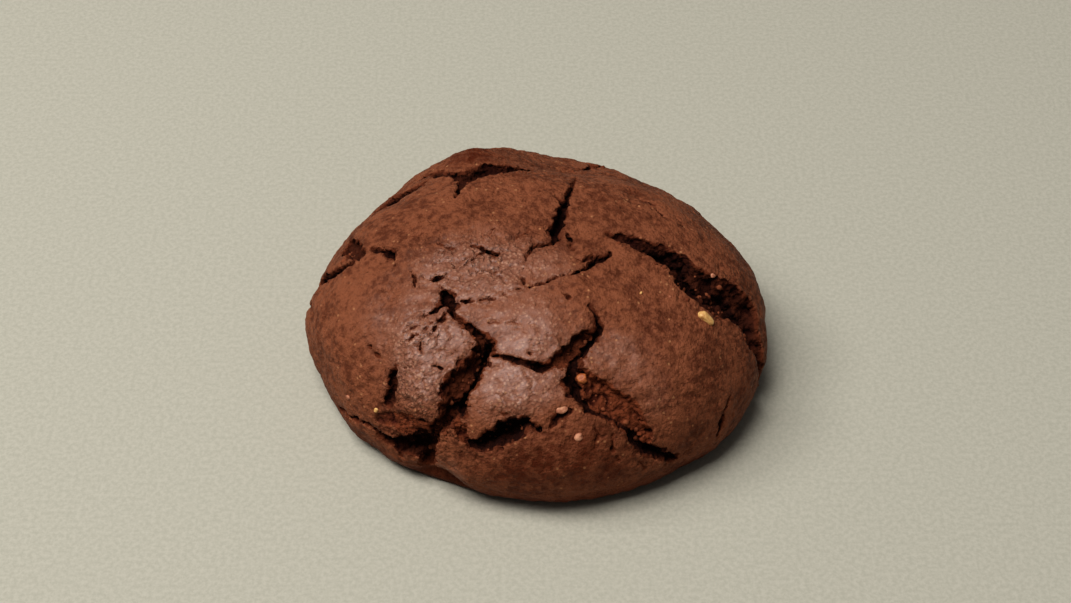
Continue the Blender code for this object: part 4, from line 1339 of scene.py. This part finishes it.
@dataclass
class LooseCrumb:
    """Crumbs that lie loose on the floors of the wide cracks.

    The smallest and largest lengths are in millimetres. A crumb's width, thickness and depth below the
    surface are shares of its length, and per_square is the number of crumbs on a square millimetre.
    """

    scatter: Scatter = field(
        default_factory=lambda: Scatter(seed=11, level=1, facets=3, roughness=0.22)
    )
    smallest: float = 0.45
    largest: float = 1.2
    widths: tuple[float, float] = (0.7, 1.0)
    thicknesses: tuple[float, float] = (0.6, 0.9)
    sunk: float = 0.1
    per_square: float = 0.35
    routes: tuple[str, ...] = (
        "ledge", "right_gap", "gorge", "left_foot", "left_crumb", "shoulder_crumb", "rim_cluster",
        "rim_left", "rim_back", "wedge", "hole_side", "front_hole", "back_right", "back_left",
    )

    def chips(self) -> list[Chip]:
        """Draws the crumbs along the wide cracks, more where a crack is wider."""
        draw = self.scatter.draw
        found = []
        for name in self.routes:
            for start, end in zip(CRACKS[name][:-1], CRACKS[name][1:]):
                length = math.dist(start[:2], end[:2])
                width = (start[2] + end[2]) / 2
                for _ in range(round(length * width * self.per_square + draw.random())):
                    along, across = draw.random(), draw.uniform(-0.5, 0.5) * width
                    u = start[0] + along * (end[0] - start[0]) - across * (end[1] - start[1]) / length
                    v = start[1] + along * (end[1] - start[1]) + across * (end[0] - start[0]) / length
                    size = self.smallest + (self.largest - self.smallest) * draw.random() ** 2
                    width_share = draw.uniform(*self.widths)
                    thick = size * draw.uniform(*self.thicknesses)
                    turn = draw.uniform(0.0, 360.0)
                    found.append(Chip(u, v, size, size * width_share, thick, turn, size * self.sunk))
        return found


@dataclass(frozen=True)
class Softbox:
    """A square light that faces the cookie. The place and size are in metres, the power in watts."""

    name: str
    place: tuple[float, float, float]
    size: float
    power: float

    def hang(self) -> None:
        """Puts the light in the scene."""
        light = bpy.data.lights.new(self.name, "AREA")
        light.shape = "SQUARE"
        light.size = self.size
        light.energy = self.power
        lamp = bpy.data.objects.new(self.name, light)
        lamp.location = self.place
        lamp.rotation_euler = (-Vector(self.place)).to_track_quat("-Z", "Y").to_euler()
        bpy.context.scene.collection.objects.link(lamp)


@dataclass
class Studio:
    """Floor, lights and camera. The camera looks along +Y and down, as the photograph does.

    The floor's size and the near clip are in metres, the camera's distance and target in millimetres,
    and its elevation in degrees.
    """

    floor: TableFinish = field(default_factory=TableFinish)
    floor_size: float = 6.0
    lights: tuple[Softbox, ...] = (
        Softbox("window", (-0.62, 0.02, 0.77), 0.35, 3.0),
        Softbox("ceiling", (-0.25, -0.15, 1.0), 0.5, 7.4),
    )
    surround: Colour = (0.95, 0.97, 1.0, 1.0)
    surround_strength: float = 0.1
    elevation: float = 45.0
    distance: float = 300.0
    lens: float = 64.0
    near_clip: float = 0.01
    target: tuple[float, float, float] = (0.0, 2.0, 9.0)

    def build(self) -> None:
        """Lays the floor, hangs the lights and sets the camera."""
        self._floor()
        self._surround()
        for light in self.lights:
            light.hang()
        self._camera()

    def _floor(self) -> None:
        """A wide plain tabletop."""
        bpy.ops.mesh.primitive_plane_add(size=self.floor_size)
        table = bpy.context.object
        table.name = "table"
        table.data.materials.append(self.floor.material())

    def _surround(self) -> None:
        """An even pale surround."""
        world = bpy.data.worlds.new("surround")
        bpy.context.scene.world = world
        world.use_nodes = True
        background = world.node_tree.nodes["Background"]
        background.inputs["Color"].default_value = self.surround
        background.inputs["Strength"].default_value = self.surround_strength

    def _camera(self) -> None:
        """The camera at the photograph's viewing angle."""
        rise = math.radians(self.elevation)
        back = Vector((0.0, -math.cos(rise), math.sin(rise)))
        lens = bpy.data.cameras.new("camera")
        lens.lens = self.lens
        lens.clip_start = self.near_clip
        camera = bpy.data.objects.new("camera", lens)
        camera.location = Vector(self.target) * MM + back * self.distance * MM
        camera.rotation_euler = (-back).to_track_quat("-Z", "Y").to_euler()
        bpy.context.scene.collection.objects.link(camera)
        bpy.context.scene.camera = camera


NUT = NutFinish(pale=srgb(232, 186, 118), toasted=srgb(204, 148, 86))
TOASTED_NUT = NutFinish(pale=srgb(206, 126, 72), toasted=srgb(160, 84, 44))
ROSY_NUT = NutFinish(pale=srgb(216, 156, 122), toasted=srgb(166, 102, 74), roughness=0.8)

NUT_CHIPS = (
    Chip(20.8, -10.8, 3.0, 1.8, 1.5, turn=-88.0, sunk=0.0, taper=0.3),
    Chip(11.9, -8.5, 0.6, 0.5, 0.4),
    Chip(-25.6, -25.8, 0.9, 0.7, 0.5, turn=50.0),
)
TOASTED_CHIPS = (Chip(6.0, -21.8, 1.9, 1.6, 1.5, turn=20.0),)
ROSY_CHIPS = (
    Chip(3.5, -27.1, 2.0, 1.4, 0.9, turn=15.0, sunk=0.15),
    Chip(6.2, -31.7, 1.6, 1.3, 0.9, turn=30.0, sunk=0.1),
    Chip(-31.7, -22.2, 1.3, 0.8, 0.6, turn=40.0, sunk=0.1),
    Chip(22.4, -3.2, 1.5, 0.8, 0.5, turn=-20.0, sunk=0.15),
    Chip(15.5, -8.5, 0.5, 0.4, 0.4),
)


def ride(piece: bpy.types.Object, material: bpy.types.Material) -> None:
    """Dresses a piece, puts it on the cookie's body and logs its triangles."""
    piece.data.materials.append(material)
    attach(piece, "root")
    log.info("%s: %d triangles", piece.name, len(piece.data.polygons))


def main() -> None:
    """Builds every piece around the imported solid, then the studio."""
    logging.basicConfig(level=logging.INFO, format="%(name)s: %(message)s")
    noise.seed_set(NOISE_SEED)
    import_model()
    bpy.context.scene.view_settings.view_transform = "Standard"
    bpy.context.scene.view_settings.look = "Medium High Contrast"

    cookie = CookieCrust()
    crust = cookie.build()
    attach(crust, "root")
    log.info("crust: %d triangles", len(crust.data.polygons))

    seat = Seat(crust, cookie.dome)
    nuts = Bits("nut_chips", NUT_CHIPS, Scatter(seed=3)).build(seat)
    toasted = Bits("toasted_chip", TOASTED_CHIPS, Scatter(seed=5)).build(seat)
    rosy = Bits("rosy_chips", ROSY_CHIPS, Scatter(seed=8)).build(seat)
    loose = LooseCrumb()
    crumbs = Bits("loose_crumbs", loose.chips(), loose.scatter).build(seat)
    ride(nuts, NUT.material("pale_nut"))
    ride(toasted, TOASTED_NUT.material("toasted_nut"))
    ride(rosy, ROSY_NUT.material("rosy_nut"))
    ride(crumbs, CrumbFinish().material())
    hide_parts("cookie")

    Studio().build()


if __name__ == "__main__":
    main()
